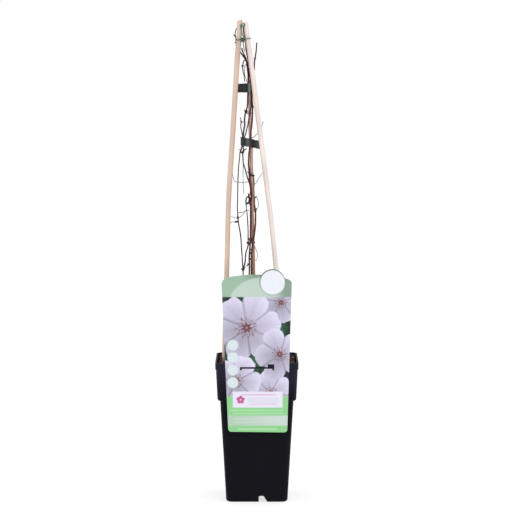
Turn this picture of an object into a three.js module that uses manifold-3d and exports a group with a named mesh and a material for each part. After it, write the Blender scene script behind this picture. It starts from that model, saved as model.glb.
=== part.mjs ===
// A young climbing plant in its nursery pot: a tall square pot of compost, three sticks tied into a
// narrow frame, three bare winding stems, two loops of tying tape, a twist tie and a printed card.
// Millimetres, +Z up. The origin is the middle of the pot's base, and the card faces -Y.

import * as THREE from 'three';
import { mergeVertices } from 'three/addons/utils/BufferGeometryUtils.js';
import Module from 'manifold-3d';

const wasm = await Module();
wasm.setup();

// ---- driving dimensions -----------------------------------------------------------------------

const GAP = 0.3; // clearance between two pieces that touch

const RIM_WIDTH = 131.6; // across the pot's lip
const POT_HEIGHT = 224.8;
const LIP_HEIGHT = 10.9;
const LIP_STEP = 1.2; // how far the lip stands out past the collar
const LIP_SLOPE = 0.5; // the lip's underside slopes by this much above and below its foot
const RIM_EDGE = 0.6; // bevel along the top of the lip
const COLLAR_TOP_WIDTH = RIM_WIDTH - 2 * LIP_STEP;
const COLLAR_FOOT_WIDTH = 124.8;
const COLLAR_FOOT_Z = 166.5;
const COLLAR_BEVEL = [1.2, 2]; // across and up
const BODY_TOP_WIDTH = 116.2;
const BODY_TOP_Z = 163.5;
const BODY_FOOT_WIDTH = 98.6;
const WALL = 1.5;
const LIP_WALL = 2.7;
const INNER_STEP_RISE = 1; // the collar's step lies this much higher inside
const FOOT_WIDTH = 3; // flat ring that the pot stands on
const FOOT_DRAFT = 1; // the ring's inner side leans by this much
const FOOT_CURVE = 7; // rounding between the ring and the wall
const FOOT_CURVE_MIDDLE = [0.55, 0.2]; // its middle point, as shares of it across and up
const FLOOR_UNDERSIDE_Z = 10.5;
const FLOOR_TOP_Z = FLOOR_UNDERSIDE_Z + WALL;
const FLOOR_BEVEL = 2; // between the floor and the wall inside
const CORNER_SHARE = 0.18; // corner radius as a share of the half width
const CORNER_STEPS = 5; // points on each corner's arc
const NOTCH = [[3.2, -2], [17.8, -2], [11.3, 9.4], [10.5, 10.2], [4, 10.2], [3.2, 9.4]];
const NOTCH_MARGIN = 6; // how far the notch's cutter runs past the ring
const DRAIN_RADIUS = 5;
const DRAIN_OFFSET = 27;
const DRAIN_SIDES = 10;

const SOIL_EDGE_Z = 219.6;
const SOIL_MIDDLE_Z = 221.2;
const SOIL_RINGS = [0.94, 0.82, 0.68, 0.52, 0.36, 0.2];
const SOIL_LUMP = 0.8;
const SOIL_WAVES = [[0.31, 0.17, 0], [-0.41, 0.23, 1.3], [0, 0.37, 2.1]]; // x, y and phase
const SOIL_CALM = 0.2; // the lumps die away over this share of the width, next to the wall

// Radii at the foot and at the top.
const CANE_LEFT_RADII = [3.95, 4.15];
const CANE_RIGHT_RADII = [4.05, 3.8];
const CANE_TOP_CHAMFER = 0.8;
const STAKE_RADII = [3, 2.5];

const CARD_THICKNESS = 0.8;
const CARD_TILT = THREE.MathUtils.degToRad(1.8); // the top leans out over the rim
const CARD_HOOK_Z = 214.3; // where the card's back rests on the lip
const CARD_BOTTOM_Z = [116.2, 115.1]; // left and right
const CARD_BOTTOM_X = [-45.2, 48];
const CARD_SHOULDER_X = [-55.3, 54.6];
const CARD_SHOULDER_Z = 352;
const CARD_SHOULDER_BEND = 5; // height of the point that pulls each shoulder's curve
const CARD_SHOULDER_RISE = [9.4, 7.5]; // from the shoulder to the arch, left and right
const CARD_SHOULDER_CURVE = 8;
const CARD_TOP_Z = 366;
const CARD_ARCH_PULL = [[0.4, 0.2], [0.3, 0.6]]; // share of the half width, height over the top
const CARD_CORNER = 5;
const CARD_TAPER = 0.2; // how far a side moves out over the height of a corner
const BADGE_RADIUS = 20;
const BADGE_X = 24.2;
const BADGE_Z = 354.7;
const BADGE_SIDES = 36;
const SLOT = [
  [-26.6, 214.4], [-23.6, 214.4], [-23.6, 216.8], [24.4, 216.8], [24.4, 214.2], [27.3, 214.2],
  [27.3, 224], [17, 224], [17, 219.6], [-26.6, 219.6],
];
const TONGUE_WIDTH = 38;
const TONGUE_DEPTH = 12; // how far the hook reaches down inside the rim
const TONGUE_DRAFT = 0.5; // the pot's wall leans in by this much over that depth
const TONGUE_SINK = 0.2; // how deep the hook's end lies inside the leaning card

const TAPE_THICKNESS = 0.6;

// ---- general shapes ---------------------------------------------------------------------------

/** A closed geometry with only shared positions and no triangle that has shrunk to a line. */
function closedGeometry(geometry) {
  const bare = geometry.clone();
  bare.deleteAttribute('normal');
  bare.deleteAttribute('uv');
  const merged = mergeVertices(bare, 1e-4);
  const index = merged.index.array;
  const kept = [];
  for (let i = 0; i < index.length; i += 3) {
    const [a, b, c] = [index[i], index[i + 1], index[i + 2]];
    if (a !== b && b !== c && c !== a) kept.push(a, b, c);
  }
  merged.setIndex(kept);
  return merged;
}

/** A solid for joining and cutting, made from a closed geometry. */
function solid(geometry) {
  const closed = closedGeometry(geometry);
  return new wasm.Manifold(new wasm.Mesh({
    numProp: 3,
    vertProperties: new Float32Array(closed.attributes.position.array),
    triVerts: new Uint32Array(closed.index.array),
  }));
}

/** The geometry of a joined or cut solid. */
function geometryOf(manifold) {
  const mesh = manifold.getMesh();
  const geometry = new THREE.BufferGeometry();
  geometry.setAttribute('position', new THREE.BufferAttribute(mesh.vertProperties, 3));
  geometry.setIndex(new THREE.BufferAttribute(mesh.triVerts, 1));
  geometry.computeVertexNormals();
  return geometry;
}

const joined = (solids) => solids.reduce((whole, next) => whole.add(next));

/** A prism of an outline given as [across, up] points, running from `from` to `to` along +Y. */
function prismAlongY(outline, from, to) {
  const shape = new THREE.Shape(outline.map(([x, z]) => new THREE.Vector2(x, z)));
  const prism = new THREE.ExtrudeGeometry(shape, { depth: to - from, bevelEnabled: false });
  prism.rotateX(Math.PI / 2);
  prism.translate(0, to, 0);
  return prism;
}

/** Where point `step` of a rounded square's outline lies, for its half width. */
function squarePoint(step, halfWidth) {
  const corner = Math.floor(step / CORNER_STEPS) % 4;
  const along = (step % CORNER_STEPS) / (CORNER_STEPS - 1);
  const angle = (corner + along) * Math.PI / 2;
  const radius = halfWidth * CORNER_SHARE;
  const centre = halfWidth - radius;
  const towardsX = corner === 0 || corner === 3 ? 1 : -1;
  const towardsY = corner < 2 ? 1 : -1;
  return [towardsX * centre + radius * Math.cos(angle), towardsY * centre + radius * Math.sin(angle)];
}

/** A body of rounded-square rings: a lathe of [half width, height] points, squared ring by ring. */
function squareLathe(profile, lift = () => 0) {
  const points = profile.map(([halfWidth, z]) => new THREE.Vector2(halfWidth, z));
  const segments = 4 * CORNER_STEPS;
  const geometry = new THREE.LatheGeometry(points, segments);
  const position = geometry.attributes.position;
  for (let step = 0; step <= segments; step++) {
    for (let ring = 0; ring < points.length; ring++) {
      const [x, y] = squarePoint(step, points[ring].x);
      const z = points[ring].y;
      position.setXYZ(step * points.length + ring, x, y, z + lift(x, y, z));
    }
  }
  return geometry;
}

/** A smooth curve through points given as [x, y, z]. */
function smoothCurve(route) {
  const points = route.map(([x, y, z]) => new THREE.Vector3(x, y, z));
  return new THREE.CatmullRomCurve3(points, false, 'centripetal');
}

/** A rod along a route: a turned stick, bent along a smooth curve, thinning from root to tip. */
function rod(route, radii, { sides, spacing, chamfer = 0 }) {
  const curve = smoothCurve(route);
  const length = curve.getLength();
  const rings = Math.max(3, Math.round(length / spacing));
  const profile = [new THREE.Vector2(0, 0)];
  for (let ring = 0; ring <= rings; ring++) {
    const radius = THREE.MathUtils.lerp(radii[0], radii[1], ring / rings);
    profile.push(new THREE.Vector2(radius, ring / rings));
  }
  if (chamfer > 0) {
    profile[rings + 1].y = 1 - chamfer / length;
    profile.push(new THREE.Vector2(radii[1] - chamfer, 1));
  }
  profile.push(new THREE.Vector2(0, 1));
  const geometry = new THREE.LatheGeometry(profile, sides);
  const frames = turningFrames(curve, profile.map((point) => point.y));
  const position = geometry.attributes.position;
  for (let i = 0; i < position.count; i++) {
    const frame = frames[i % profile.length];
    const place = frame.centre.clone()
      .addScaledVector(frame.side, position.getX(i))
      .addScaledVector(frame.front, position.getZ(i));
    position.setXYZ(i, place.x, place.y, place.z);
  }
  return geometry;
}

/** The centre and two sideways directions at each place along a curve, with no twist between them. */
function turningFrames(curve, places) {
  const frames = [];
  let side = new THREE.Vector3(1, 0, 0);
  for (const place of places) {
    const along = curve.getTangentAt(place);
    side = side.clone().addScaledVector(along, -side.dot(along)).normalize();
    const front = new THREE.Vector3().crossVectors(side, along);
    frames.push({ centre: curve.getPointAt(place), side, front });
  }
  return frames;
}

// ---- pot --------------------------------------------------------------------------------------

const half = (width) => width / 2;
const bodyFootHalf = half(BODY_FOOT_WIDTH);
const footOuterHalf = bodyFootHalf - FOOT_CURVE;
const footInnerHalf = footOuterHalf - FOOT_WIDTH;

/** The pot's shell, from under its floor out over the rim and down to the floor inside. */
function potProfile() {
  const [curveAcross, curveUp] = FOOT_CURVE_MIDDLE;
  const [bevelAcross, bevelUp] = COLLAR_BEVEL;
  return [
    [0, FLOOR_UNDERSIDE_Z],
    [footInnerHalf - FOOT_DRAFT, FLOOR_UNDERSIDE_Z],
    [footInnerHalf, 0],
    [footOuterHalf, 0],
    [footOuterHalf + curveAcross * FOOT_CURVE, curveUp * FOOT_CURVE],
    [bodyFootHalf, FOOT_CURVE],
    [half(BODY_TOP_WIDTH), BODY_TOP_Z],
    [half(COLLAR_FOOT_WIDTH) - bevelAcross, COLLAR_FOOT_Z - bevelUp],
    [half(COLLAR_FOOT_WIDTH), COLLAR_FOOT_Z],
    [half(COLLAR_TOP_WIDTH), POT_HEIGHT - LIP_HEIGHT - LIP_SLOPE],
    [half(RIM_WIDTH), POT_HEIGHT - LIP_HEIGHT + LIP_SLOPE],
    [half(RIM_WIDTH), POT_HEIGHT - RIM_EDGE],
    [half(RIM_WIDTH) - RIM_EDGE, POT_HEIGHT],
    [half(RIM_WIDTH) - LIP_WALL + RIM_EDGE, POT_HEIGHT],
    [half(RIM_WIDTH) - LIP_WALL, POT_HEIGHT - RIM_EDGE],
    [half(COLLAR_FOOT_WIDTH) - WALL, COLLAR_FOOT_Z + INNER_STEP_RISE],
    [half(BODY_TOP_WIDTH) - WALL, BODY_TOP_Z],
    [bodyFootHalf - WALL, FLOOR_TOP_Z + FLOOR_BEVEL],
    [bodyFootHalf - WALL - FLOOR_BEVEL, FLOOR_TOP_Z],
    [0, FLOOR_TOP_Z],
  ];
}

/** A channel through the foot ring, off the middle of each side, and a drain hole near each corner. */
function makePot() {
  let shell = solid(squareLathe(potProfile()));
  for (let turn = 0; turn < 4; turn++) {
    const notch = prismAlongY(NOTCH, -bodyFootHalf - NOTCH_MARGIN, -footInnerHalf + NOTCH_MARGIN);
    notch.rotateZ(turn * Math.PI / 2);
    shell = shell.subtract(solid(notch));
    const drain = new THREE.CylinderGeometry(DRAIN_RADIUS, DRAIN_RADIUS, 4 * WALL, DRAIN_SIDES);
    drain.rotateX(Math.PI / 2);
    drain.translate(DRAIN_OFFSET, DRAIN_OFFSET, half(FLOOR_UNDERSIDE_Z + FLOOR_TOP_Z));
    drain.rotateZ(turn * Math.PI / 2);
    shell = shell.subtract(solid(drain));
  }
  return geometryOf(shell);
}

// ---- canes and stake --------------------------------------------------------------------------

const STICK_SHAPE = { sides: 10, spacing: 28 };

const CANE_LEFT = [
  [-47.6, -12.8, 118], [-50.2, -12.6, 160], [-51.4, -12.3, 200], [-51.5, -12, 233.5],
  [-47.7, -9, 375], [-44.9, -6.4, 479.7], [-39.9, -4.5, 559.1], [-34.9, -2.5, 638.2],
  [-31.1, -1.2, 701.3], [-28.3, -0.5, 732.8], [-26.9, 0, 764.2],
];
const CANE_RIGHT = [
  [48, -12.5, 122], [49.2, -12.5, 140], [49.2, -12.4, 168], [47.9, -12.2, 195], [45.7, -12, 222.2],
  [29.8, -9, 377.7], [24.4, -7.5, 431.9], [18.6, -6, 479.7], [8.5, -4.5, 559.1],
  [-1.9, -2.5, 638.2], [-5.7, -2, 669.7], [-9.9, -1.2, 701.3], [-15, -0.5, 735.9],
  [-17.8, 0, 759.8],
];
const STAKE = [
  [3, 8, 70], [0, 8, 215], [-2.9, 8, 290], [-5, 8, 358], [-5.5, 8, 381.7], [-7.1, 8, 453.9],
  [-7.9, 8, 494], [-8.7, 8, 538.7], [-8.7, 8, 557.8], [-9.8, 8, 573.7], [-10.8, 8, 589.6],
  [-11.1, 8, 618.2], [-11.2, 8, 637.2], [-11.2, 8, 669.7],
];

/** A planed cane with a cut top. */
const makeCane = (route, radii) => rod(route, radii, { ...STICK_SHAPE, chamfer: CANE_TOP_CHAMFER });

const makeStake = () => rod(STAKE, STAKE_RADII, STICK_SHAPE);

// ---- stems ------------------------------------------------------------------------------------
// Each shoot has its points from root to tip, its radius at both ends, and the points that are
// leaf joints, each with a pair of buds. A side shoot starts on the middle line of its parent.

const STEM_SHAPE = { sides: 6, spacing: 9 };
const TENDRIL_SHAPE = { sides: 4, spacing: 7 };

const STEM_LEFT = [
  {
    route: [
      [-9.5, -3, 178], [-9.5, -3, 221], [-16.6, -2, 302.1], [-21.8, -1, 358.4], [-22.1, -1, 366.4],
      [-22.8, -1, 374.5], [-23.4, -1, 385.7], [-24.5, -0.5, 401.7], [-25.3, 0, 414.5],
      [-26.4, 0, 425.7], [-28, 0, 433.7], [-29.1, 0, 440.1], [-29.6, 0, 444.9], [-30.1, 0, 449.7],
    ],
    radii: [1.3, 0.95],
    joints: [4, 13],
  },
  // the inner shoot: round a small knot, and up along the stake
  {
    route: [
      [-29.6, 0, 444.9], [-30.1, 0, 449.7], [-30.4, 0, 452.9], [-30.9, 0, 465.6], [-30.7, 0, 478.4],
      [-30.5, 0, 491.2], [-30.2, 0.5, 507.1], [-29.7, 1, 519.8], [-29.2, 1.5, 529.4],
      [-28.4, 2, 537.3], [-27.6, 2.4, 543.6], [-27.3, 2.7, 548.4], [-27, 3, 552.4],
      [-25.9, 3.4, 556.3],
    ],
    radii: [0.8, 0.85],
  },
  // the knot's other side, with a stub
  {
    route: [
      [-27, 3, 552.4], [-25.9, 3.4, 556.3], [-24.6, 3.7, 560.3], [-23.3, 3.8, 564.3],
      [-22.7, 4, 570.6], [-22, 4, 577], [-21.6, 4, 581.7], [-21.1, 4, 586.5], [-20.5, 4, 591.3],
      [-19.5, 3.9, 596], [-19.3, 3.8, 599.2], [-19.8, 3.7, 602.4], [-19.5, 3.6, 607.1],
      [-19, 3.6, 611.9], [-18.4, 3.6, 615.4], [-17.6, 3.4, 618.2], [-16.6, 3.8, 621.4],
      [-15.5, 4.4, 625.4], [-14.7, 4.8, 630.9], [-14.6, 5, 637.2], [-14.4, 5, 645.2],
      [-14.2, 5, 651.5], [-14.1, 5, 657.8], [-14.2, 5, 664.2], [-13.9, 5, 670.5], [-13.9, 5, 676.8],
      [-14.5, 5, 683.1], [-15.2, 4.8, 689.4], [-16, 4.7, 695.7], [-17.4, 4.6, 700.5],
      [-19.1, 4.6, 703.6], [-21.3, 4.6, 706.8], [-23.4, 4.6, 709.2], [-25.5, 4.6, 711.8],
    ],
    radii: [1.15, 1.25],
    joints: [15],
  },
  {
    route: [
      [-22.1, -1, 366.4], [-18.8, -0.8, 379.4], [-18.3, -0.6, 387.1], [-17.3, -0.5, 394.8],
      [-15.1, -0.6, 402.1], [-13.5, -0.4, 408.6], [-13.9, -0.2, 415.1], [-14, 0, 430.1],
      [-14.4, 0, 439.1], [-15.3, 0, 452.8], [-16, 0, 461.1], [-16.8, 0.2, 469.6],
      [-17.3, 0.2, 474.4],
    ],
    radii: [1.1, 0.8],
    joints: [5],
  },
  // short twig below the middle
  {
    route: [
      [-16.8, 0.2, 469.6], [-17.3, 0.2, 474.4], [-17.1, 0.2, 479.2], [-15.9, 0.3, 482.7],
      [-13.8, 0.4, 484.1], [-11.6, 0.4, 486.1], [-10.3, 0.4, 490.1], [-10.1, 0.6, 497.1],
      [-11.5, 1.2, 504.1], [-12.9, 1.8, 508.1], [-14.7, 2.4, 513.1], [-18.2, 2.2, 526.1],
      [-21.4, 1.6, 536.5], [-22.1, 1.6, 545.3], [-22.4, 1.7, 550], [-22.8, 1.8, 553.2],
      [-21.6, 2.1, 558], [-21.3, 2.6, 562.7], [-20.8, 3.1, 570.6], [-19.5, 3.3, 578.6],
      [-17.9, 3.3, 583.4], [-16.9, 3.3, 587.3], [-15.8, 3.3, 592.1], [-14.4, 3.4, 597.6],
      [-13.1, 3.4, 605.6], [-12.2, 3.4, 611.9], [-11.1, 3.4, 617.5], [-9.9, 3.3, 623],
      [-9.1, 3.3, 627.8], [-8.8, 3.2, 634.1], [-8.8, 3.1, 640.4], [-9, 2.9, 646.8],
      [-9.1, 2.8, 652.3],
    ],
    radii: [1.05, 0.95],
    joints: [15],
  },
  {
    route: [
      [-13.8, 0.4, 484], [-11.7, 0.6, 481.6], [-11.6, 0.8, 477.4], [-13.2, 0.5, 473.9],
      [-15.7, 0.2, 473], [-17.3, 0.2, 473.9],
    ],
    radii: [1.7, 1.5],
  },
  // the top twig, with two stubs
  {
    route: [
      [-13.2, 0.4, 484.3], [-13.3, -0.4, 486.7], [-13.6, -0.8, 489.3],
    ],
    radii: [0.9, 0.6],
  },
  {
    route: [
      [-22.7, 4, 570.6], [-22.7, 3, 579.4], [-23.3, 2.2, 583.7], [-24.4, 1.8, 588.9],
      [-25.4, 1.8, 594.5], [-25.4, 1.8, 599.2], [-24.7, 1.8, 602.1], [-25.5, 1.8, 605.6],
      [-26.1, 1.8, 610],
    ],
    radii: [0.9, 0.6],
    joints: [6],
  },
  {
    route: [
      [-17.6, 3.4, 618.2], [-16, 2.6, 617], [-14.4, 2.4, 615.4],
    ],
    radii: [1.1, 0.9],
  },
  // dead stubs and a bud
  {
    route: [
      [-17.4, 4.6, 700.5], [-25.2, 7.6, 711.6], [-29.5, 7.8, 717.9], [-32.1, 7.2, 722.9],
      [-32.8, 6.6, 728.1], [-33.1, 6, 732], [-33.2, 5.6, 736], [-34.5, 5.2, 739.9],
      [-34.3, 5, 743.8], [-33.2, 5.2, 747.8], [-31.6, 5.6, 750.9],
    ],
    radii: [1.2, 0.65],
    joints: [3],
  },
  {
    route: [
      [-33.2, 5.5, 736.4], [-35.3, 5, 738.9], [-37.3, 4.6, 740.8],
    ],
    radii: [0.9, 0.6],
  },
  {
    route: [
      [-32.6, 6.8, 726.4], [-33.7, 6.2, 727.5], [-35, 5.8, 728.7],
    ],
    radii: [0.8, 0.6],
  },
  // tendrils and the thinnest twigs
  {
    route: [
      [-29.6, 0, 444.2], [-32.5, -0.4, 443.6], [-35.5, -0.8, 443.5],
    ],
    radii: [1.5, 1.5],
  },
  {
    route: [
      [-21.9, 1.8, 556.6], [-18.7, 0.6, 558.8], [-16.3, 0, 560.5],
    ],
    radii: [1.1, 0.8],
  },
  {
    route: [
      [-22.1, 3.4, 692.1], [-23.6, 3.2, 691.8], [-24.8, 3, 691.6],
    ],
    radii: [1, 0.8],
  },
  {
    route: [
      [-24.7, 1.8, 601.9], [-22, 2.4, 601.6], [-19.6, 3.1, 602.1], [-16, 2.9, 602.4],
    ],
    radii: [0.6, 0.5],
    tendril: true,
  },
  {
    route: [
      [-25.9, 3.4, 556.3], [-27.5, 2.4, 559.1], [-29.2, 2, 558.6],
    ],
    radii: [0.6, 0.45],
    tendril: true,
  },
  {
    route: [
      [-17.4, 4.6, 700.5], [-21.3, 3.8, 698.9], [-21.8, 3.4, 695.7], [-22.1, 3.4, 692.1],
      [-22.9, 3.4, 688.6], [-22.1, 3.4, 683.9], [-21, 3.4, 679.2], [-19.9, 3.4, 674.4],
      [-19.8, 3.4, 669.7], [-18.5, 3.6, 665.7],
    ],
    radii: [0.9, 0.7],
    joints: [3],
  },
  {
    route: [
      [-16.1, 4.7, 695], [-18.8, 3.8, 691], [-20.1, 3.4, 687], [-19.6, 3.2, 682.3],
      [-19.4, 3, 676.8], [-17.9, 3.2, 672.8], [-16.8, 3.4, 669.7], [-16.3, 3.6, 665.7],
    ],
    radii: [0.6, 0.5],
    tendril: true,
  },
  {
    route: [
      [-21.8, 1.6, 540.1], [-21.9, 0.6, 521.1], [-21.6, 0.4, 504.1], [-20.8, 0.4, 487.1],
    ],
    radii: [0.5, 0.45],
    tendril: true,
  },
  {
    route: [
      [-13.3, 1.8, 507.5], [-21.7, -0.6, 506.3], [-30.3, -0.9, 507.1], [-34.9, -1.5, 507.9],
      [-37, -2, 512.6], [-39, -1.4, 521.1],
    ],
    radii: [0.5, 0.45],
    tendril: true,
  },
  {
    route: [
      [-30.7, 0, 458.8], [-25.9, -1, 458.4], [-18.2, -1.2, 460.8], [-12.2, -0.6, 461.8],
      [-7.7, 0.6, 462.1], [-3.3, 3.6, 461.9],
    ],
    radii: [0.6, 0.45],
    tendril: true,
  },
  {
    route: [
      [-30.4, 0, 450.5], [-27.3, -0.8, 450.8], [-20.3, -1, 457.8], [-17.1, -0.4, 463.1],
      [-16.6, 0.2, 469.1],
    ],
    radii: [0.6, 0.5],
    tendril: true,
  },
  {
    route: [
      [-30.4, 0, 449.8], [-34, -0.6, 449.8], [-38, -1, 451.1], [-43.9, -1.6, 452.1],
    ],
    radii: [0.6, 0.45],
    tendril: true,
  },
  {
    route: [
      [-35.1, -0.8, 443.3], [-39.1, -1.2, 443.8], [-42.9, -1.4, 441.1],
    ],
    radii: [0.6, 0.45],
    tendril: true,
  },
  {
    route: [
      [-22.1, -1, 366.4], [-19.5, -0.4, 369.8], [-15.5, -0.2, 374.1], [-14.1, -0.2, 378.1],
    ],
    radii: [0.6, 0.45],
    tendril: true,
  },
];

const STEM_MIDDLE = [
  {
    route: [
      [-7, 2.5, 178], [-7, 2.5, 221], [-10.7, 3, 299.1], [-12.1, 2.9, 357.1], [-11.9, 2.8, 370.1],
      [-12.1, 2.8, 387.1], [-11.5, 3, 398.1], [-10.3, 3.5, 414.1], [-10, 4.2, 438.1],
      [-9.8, 4.2, 459.1], [-9.6, 3.9, 473.1], [-8.1, 3.6, 484.6], [-9.3, 3.9, 496.1],
      [-11.3, 4.8, 507.1], [-11.9, 5.6, 517.7], [-12.4, 6.2, 526], [-13, 6.2, 533.9],
      [-13, 6.2, 541.9], [-12.7, 6, 549.9], [-11.7, 5, 557.9], [-11.4, 4.4, 562.7],
      [-10.9, 3.8, 569], [-10.3, 3.6, 577], [-9.6, 3.6, 583.3], [-9.2, 3.6, 589.7], [-8.2, 4, 596],
      [-7.6, 5, 602.4], [-7.2, 5.6, 608.7], [-6.9, 5.6, 615.1], [-6.9, 5.6, 621.4],
      [-6.8, 5.6, 626.2], [-7.2, 5.6, 632.5], [-7.7, 5.6, 638.8], [-7.7, 5.5, 645.2],
      [-8.7, 5.2, 651.5], [-9.5, 4.5, 657.8], [-10.3, 4.1, 664.1], [-10.1, 4.1, 670.5],
      [-10.4, 4.8, 676.8], [-11, 5, 684.7], [-12, 5, 692.6], [-13.6, 5, 700.5], [-15.2, 5, 706.8],
      [-16.3, 5, 713.1], [-17.2, 5, 719.4], [-17.5, 4.9, 725.7], [-18, 4.9, 730.4],
      [-19.1, 4.8, 735.2], [-20.1, 4.7, 739.9], [-20.8, 4.7, 744.6], [-21.2, 4.6, 749.3],
      [-21, 4.6, 753.1],
    ],
    radii: [1.4, 1.25],
    joints: [7, 30],
  },
  // the top shoot on the right
  {
    route: [
      [-10.2, 4.5, 673.6], [-7.9, 5.9, 678.1], [-5.2, 6, 682.3], [-4.1, 5.6, 686], [-4.1, 5.2, 691],
      [-3.7, 5, 697.3], [-3.1, 4.8, 702.1], [-2, 4.6, 708.4], [-0.9, 4.4, 716.2],
      [-0.4, 4.2, 722.5], [0.1, 4, 728.1],
    ],
    radii: [1.15, 0.95],
    joints: [6],
  },
  {
    route: [
      [-12, 5.8, 520.4], [-11.3, 3.8, 518.5], [-8.3, 3.2, 517.1], [-5.3, 3.2, 516.9],
      [-3.5, 3.8, 517.8],
    ],
    radii: [1.35, 1.25],
  },
  {
    route: [
      [-10.6, 4.4, 469.1], [-12.1, 3.2, 474.5], [-10.1, 2.2, 477.9],
    ],
    radii: [0.9, 0.6],
  },
  // tendril
  {
    route: [
      [-11.6, 3.4, 408.1], [-14.3, 2.2, 409], [-16.9, 2, 410.1],
    ],
    radii: [0.9, 0.6],
  },
  {
    route: [
      [-12.1, 2.9, 395], [-10.6, 1.8, 393.8], [-9.2, 1.6, 392.2],
    ],
    radii: [1.1, 0.9],
  },
  {
    route: [
      [-12.2, 2.9, 385.4], [-10.8, 1.8, 384.5], [-9.5, 1.6, 382.6],
    ],
    radii: [1.1, 0.9],
  },
  {
    route: [
      [-12.2, 2.9, 376.7], [-13.8, 1.8, 375.2], [-15.3, 1.6, 371.7],
    ],
    radii: [0.8, 0.5],
  },
  {
    route: [
      [-12.2, 5.8, 520.6], [-13.8, 5, 522.2], [-15.1, 4.8, 523.5],
    ],
    radii: [0.9, 0.6],
  },
  {
    route: [
      [-11.1, 3.2, 408.1], [-10.1, 2, 402.1], [-9.5, 2, 395.1], [-9.9, 2.4, 388.6],
    ],
    radii: [0.6, 0.45],
    tendril: true,
  },
];

const STEM_RIGHT = [
  {
    route: [
      [-2.5, -0.5, 178], [-2.5, -0.5, 221], [-6.7, 2, 289.1], [-8.7, 4.2, 357.1],
      [-8.8, 4.2, 385.1], [-8.1, 3.8, 398.1], [-5.7, 3.3, 413.1], [-3.6, 4.2, 426.1],
      [-2.3, 6.7, 439.1], [-2.1, 8.7, 448.1], [-2.4, 9.7, 461.1], [-4.1, 10.4, 471.4],
      [-4.1, 11, 477.8], [-4.7, 11.4, 484.2], [-5.2, 11.8, 493.8], [-5, 12, 501.7],
      [-5, 12.2, 509.7], [-6.3, 12.3, 517.7], [-7.4, 12.4, 528.9], [-8.1, 12.4, 541.7],
      [-8.4, 12.4, 557.6], [-9.7, 12.4, 573.6], [-10.6, 12.4, 589.5], [-10.9, 12.4, 605.4],
      [-11.1, 12.3, 621.3], [-11.2, 12.3, 637.2], [-11.6, 12.3, 649.9], [-12, 12.2, 659.4],
      [-12.5, 12, 665.8], [-12.8, 11.7, 669.7], [-12.7, 10.7, 673.7], [-12.8, 9.4, 678.4],
      [-13.4, 8.5, 684.7], [-14.2, 8.1, 691.1], [-15.5, 8.1, 697.4], [-16.9, 8.1, 702.1],
      [-18.5, 8.1, 705.3], [-19.9, 8.1, 708.4], [-21.4, 8.1, 711.6], [-22.8, 8, 714.7],
      [-24.2, 8, 719.5],
    ],
    radii: [1.4, 1.15],
    joints: [10],
  },
  // stub with a curl
  {
    route: [
      [-4.1, 11.1, 479.4], [-2.2, 9.6, 482], [-0.4, 8.6, 483.8],
    ],
    radii: [1, 0.95],
  },
  {
    route: [
      [-0.6, 8.6, 483.5], [0.2, 8, 482], [1.8, 6, 478.1], [2.5, 5, 471.7], [1.8, 5, 466.1],
      [-0.1, 5.6, 463.7], [-3, 6.6, 461.7],
    ],
    radii: [0.55, 0.45],
    tendril: true,
  },
  // tendrils
  {
    route: [
      [-6.3, 3.4, 409.4], [-4.2, 2.4, 410.6], [-2.3, 2.2, 409.6],
    ],
    radii: [0.9, 0.6],
  },
  {
    route: [
      [-5, 12, 500.9], [-0.3, 8.4, 506.8], [3.7, 5, 513.5], [9.7, 3, 522.5],
    ],
    radii: [0.45, 0.4],
    tendril: true,
  },
  {
    route: [
      [-9.8, 12.4, 576.8], [-5.4, 11.9, 578], [-2.7, 9, 580.5], [2.3, 5, 586.2], [5.8, 4.4, 592.1],
      [8.8, 4.2, 597.6], [10.1, 3.6, 603.5],
    ],
    radii: [0.5, 0.6],
    tendril: true,
  },
  {
    route: [
      [-5.5, 3.4, 414.8], [-3.9, 2.6, 406.1], [-0.5, 2.8, 396.8], [1.1, 3.2, 391.4],
      [0.3, 3.2, 384.8], [-2, 4, 380.1],
    ],
    radii: [0.6, 0.45],
    tendril: true,
  },
];

const BUD_REACH = 2.5;
const BUD_DEPTH = 1.9;
const BUD_HEIGHT = 2.6;
const TWIG_RADIUS = 1.3; // a shoot that starts thinner has small buds
const TWIG_BUD_SCALE = 0.65;
const JOINT_TURN = THREE.MathUtils.degToRad(70);

/** A leaf joint: a swelling drawn out into two buds, each joint turned against the last. */
function leafJoint(place, along, turn, scale) {
  const swelling = new THREE.OctahedronGeometry(1, 0);
  swelling.scale(BUD_REACH * scale, BUD_DEPTH * scale, BUD_HEIGHT * scale);
  swelling.rotateZ(turn);
  const tilt = new THREE.Quaternion().setFromUnitVectors(new THREE.Vector3(0, 0, 1), along);
  swelling.applyQuaternion(tilt);
  swelling.translate(place.x, place.y, place.z);
  return swelling;
}

/** A stem with its side shoots, tendrils and leaf joints as one body. */
function makeStem(shoots) {
  const solids = [];
  for (const { route, radii, joints = [], tendril = false } of shoots) {
    solids.push(solid(rod(route, radii, tendril ? TENDRIL_SHAPE : STEM_SHAPE)));
    const curve = smoothCurve(route);
    joints.forEach((joint, order) => {
      const share = joint / (route.length - 1);
      const along = curve.getTangent(share);
      const scale = radii[0] < TWIG_RADIUS ? TWIG_BUD_SCALE : 1;
      const turn = (order % 2) * JOINT_TURN;
      solids.push(solid(leafJoint(curve.getPoint(share), along, turn, scale)));
    });
  }
  return geometryOf(joined(solids));
}

// ---- soil -------------------------------------------------------------------------------------

/** Coarse bark and compost: a few waves across each other, dying away at the pot's wall. */
function soilLump(x, y, z) {
  if (z < SOIL_EDGE_Z) return 0;
  const inside = 1 - Math.max(Math.abs(x), Math.abs(y)) / half(RIM_WIDTH);
  let height = 0;
  for (const [alongX, alongY, phase] of SOIL_WAVES) height += Math.sin(alongX * x + alongY * y + phase);
  return SOIL_LUMP * height * Math.min(1, inside / SOIL_CALM);
}

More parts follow.
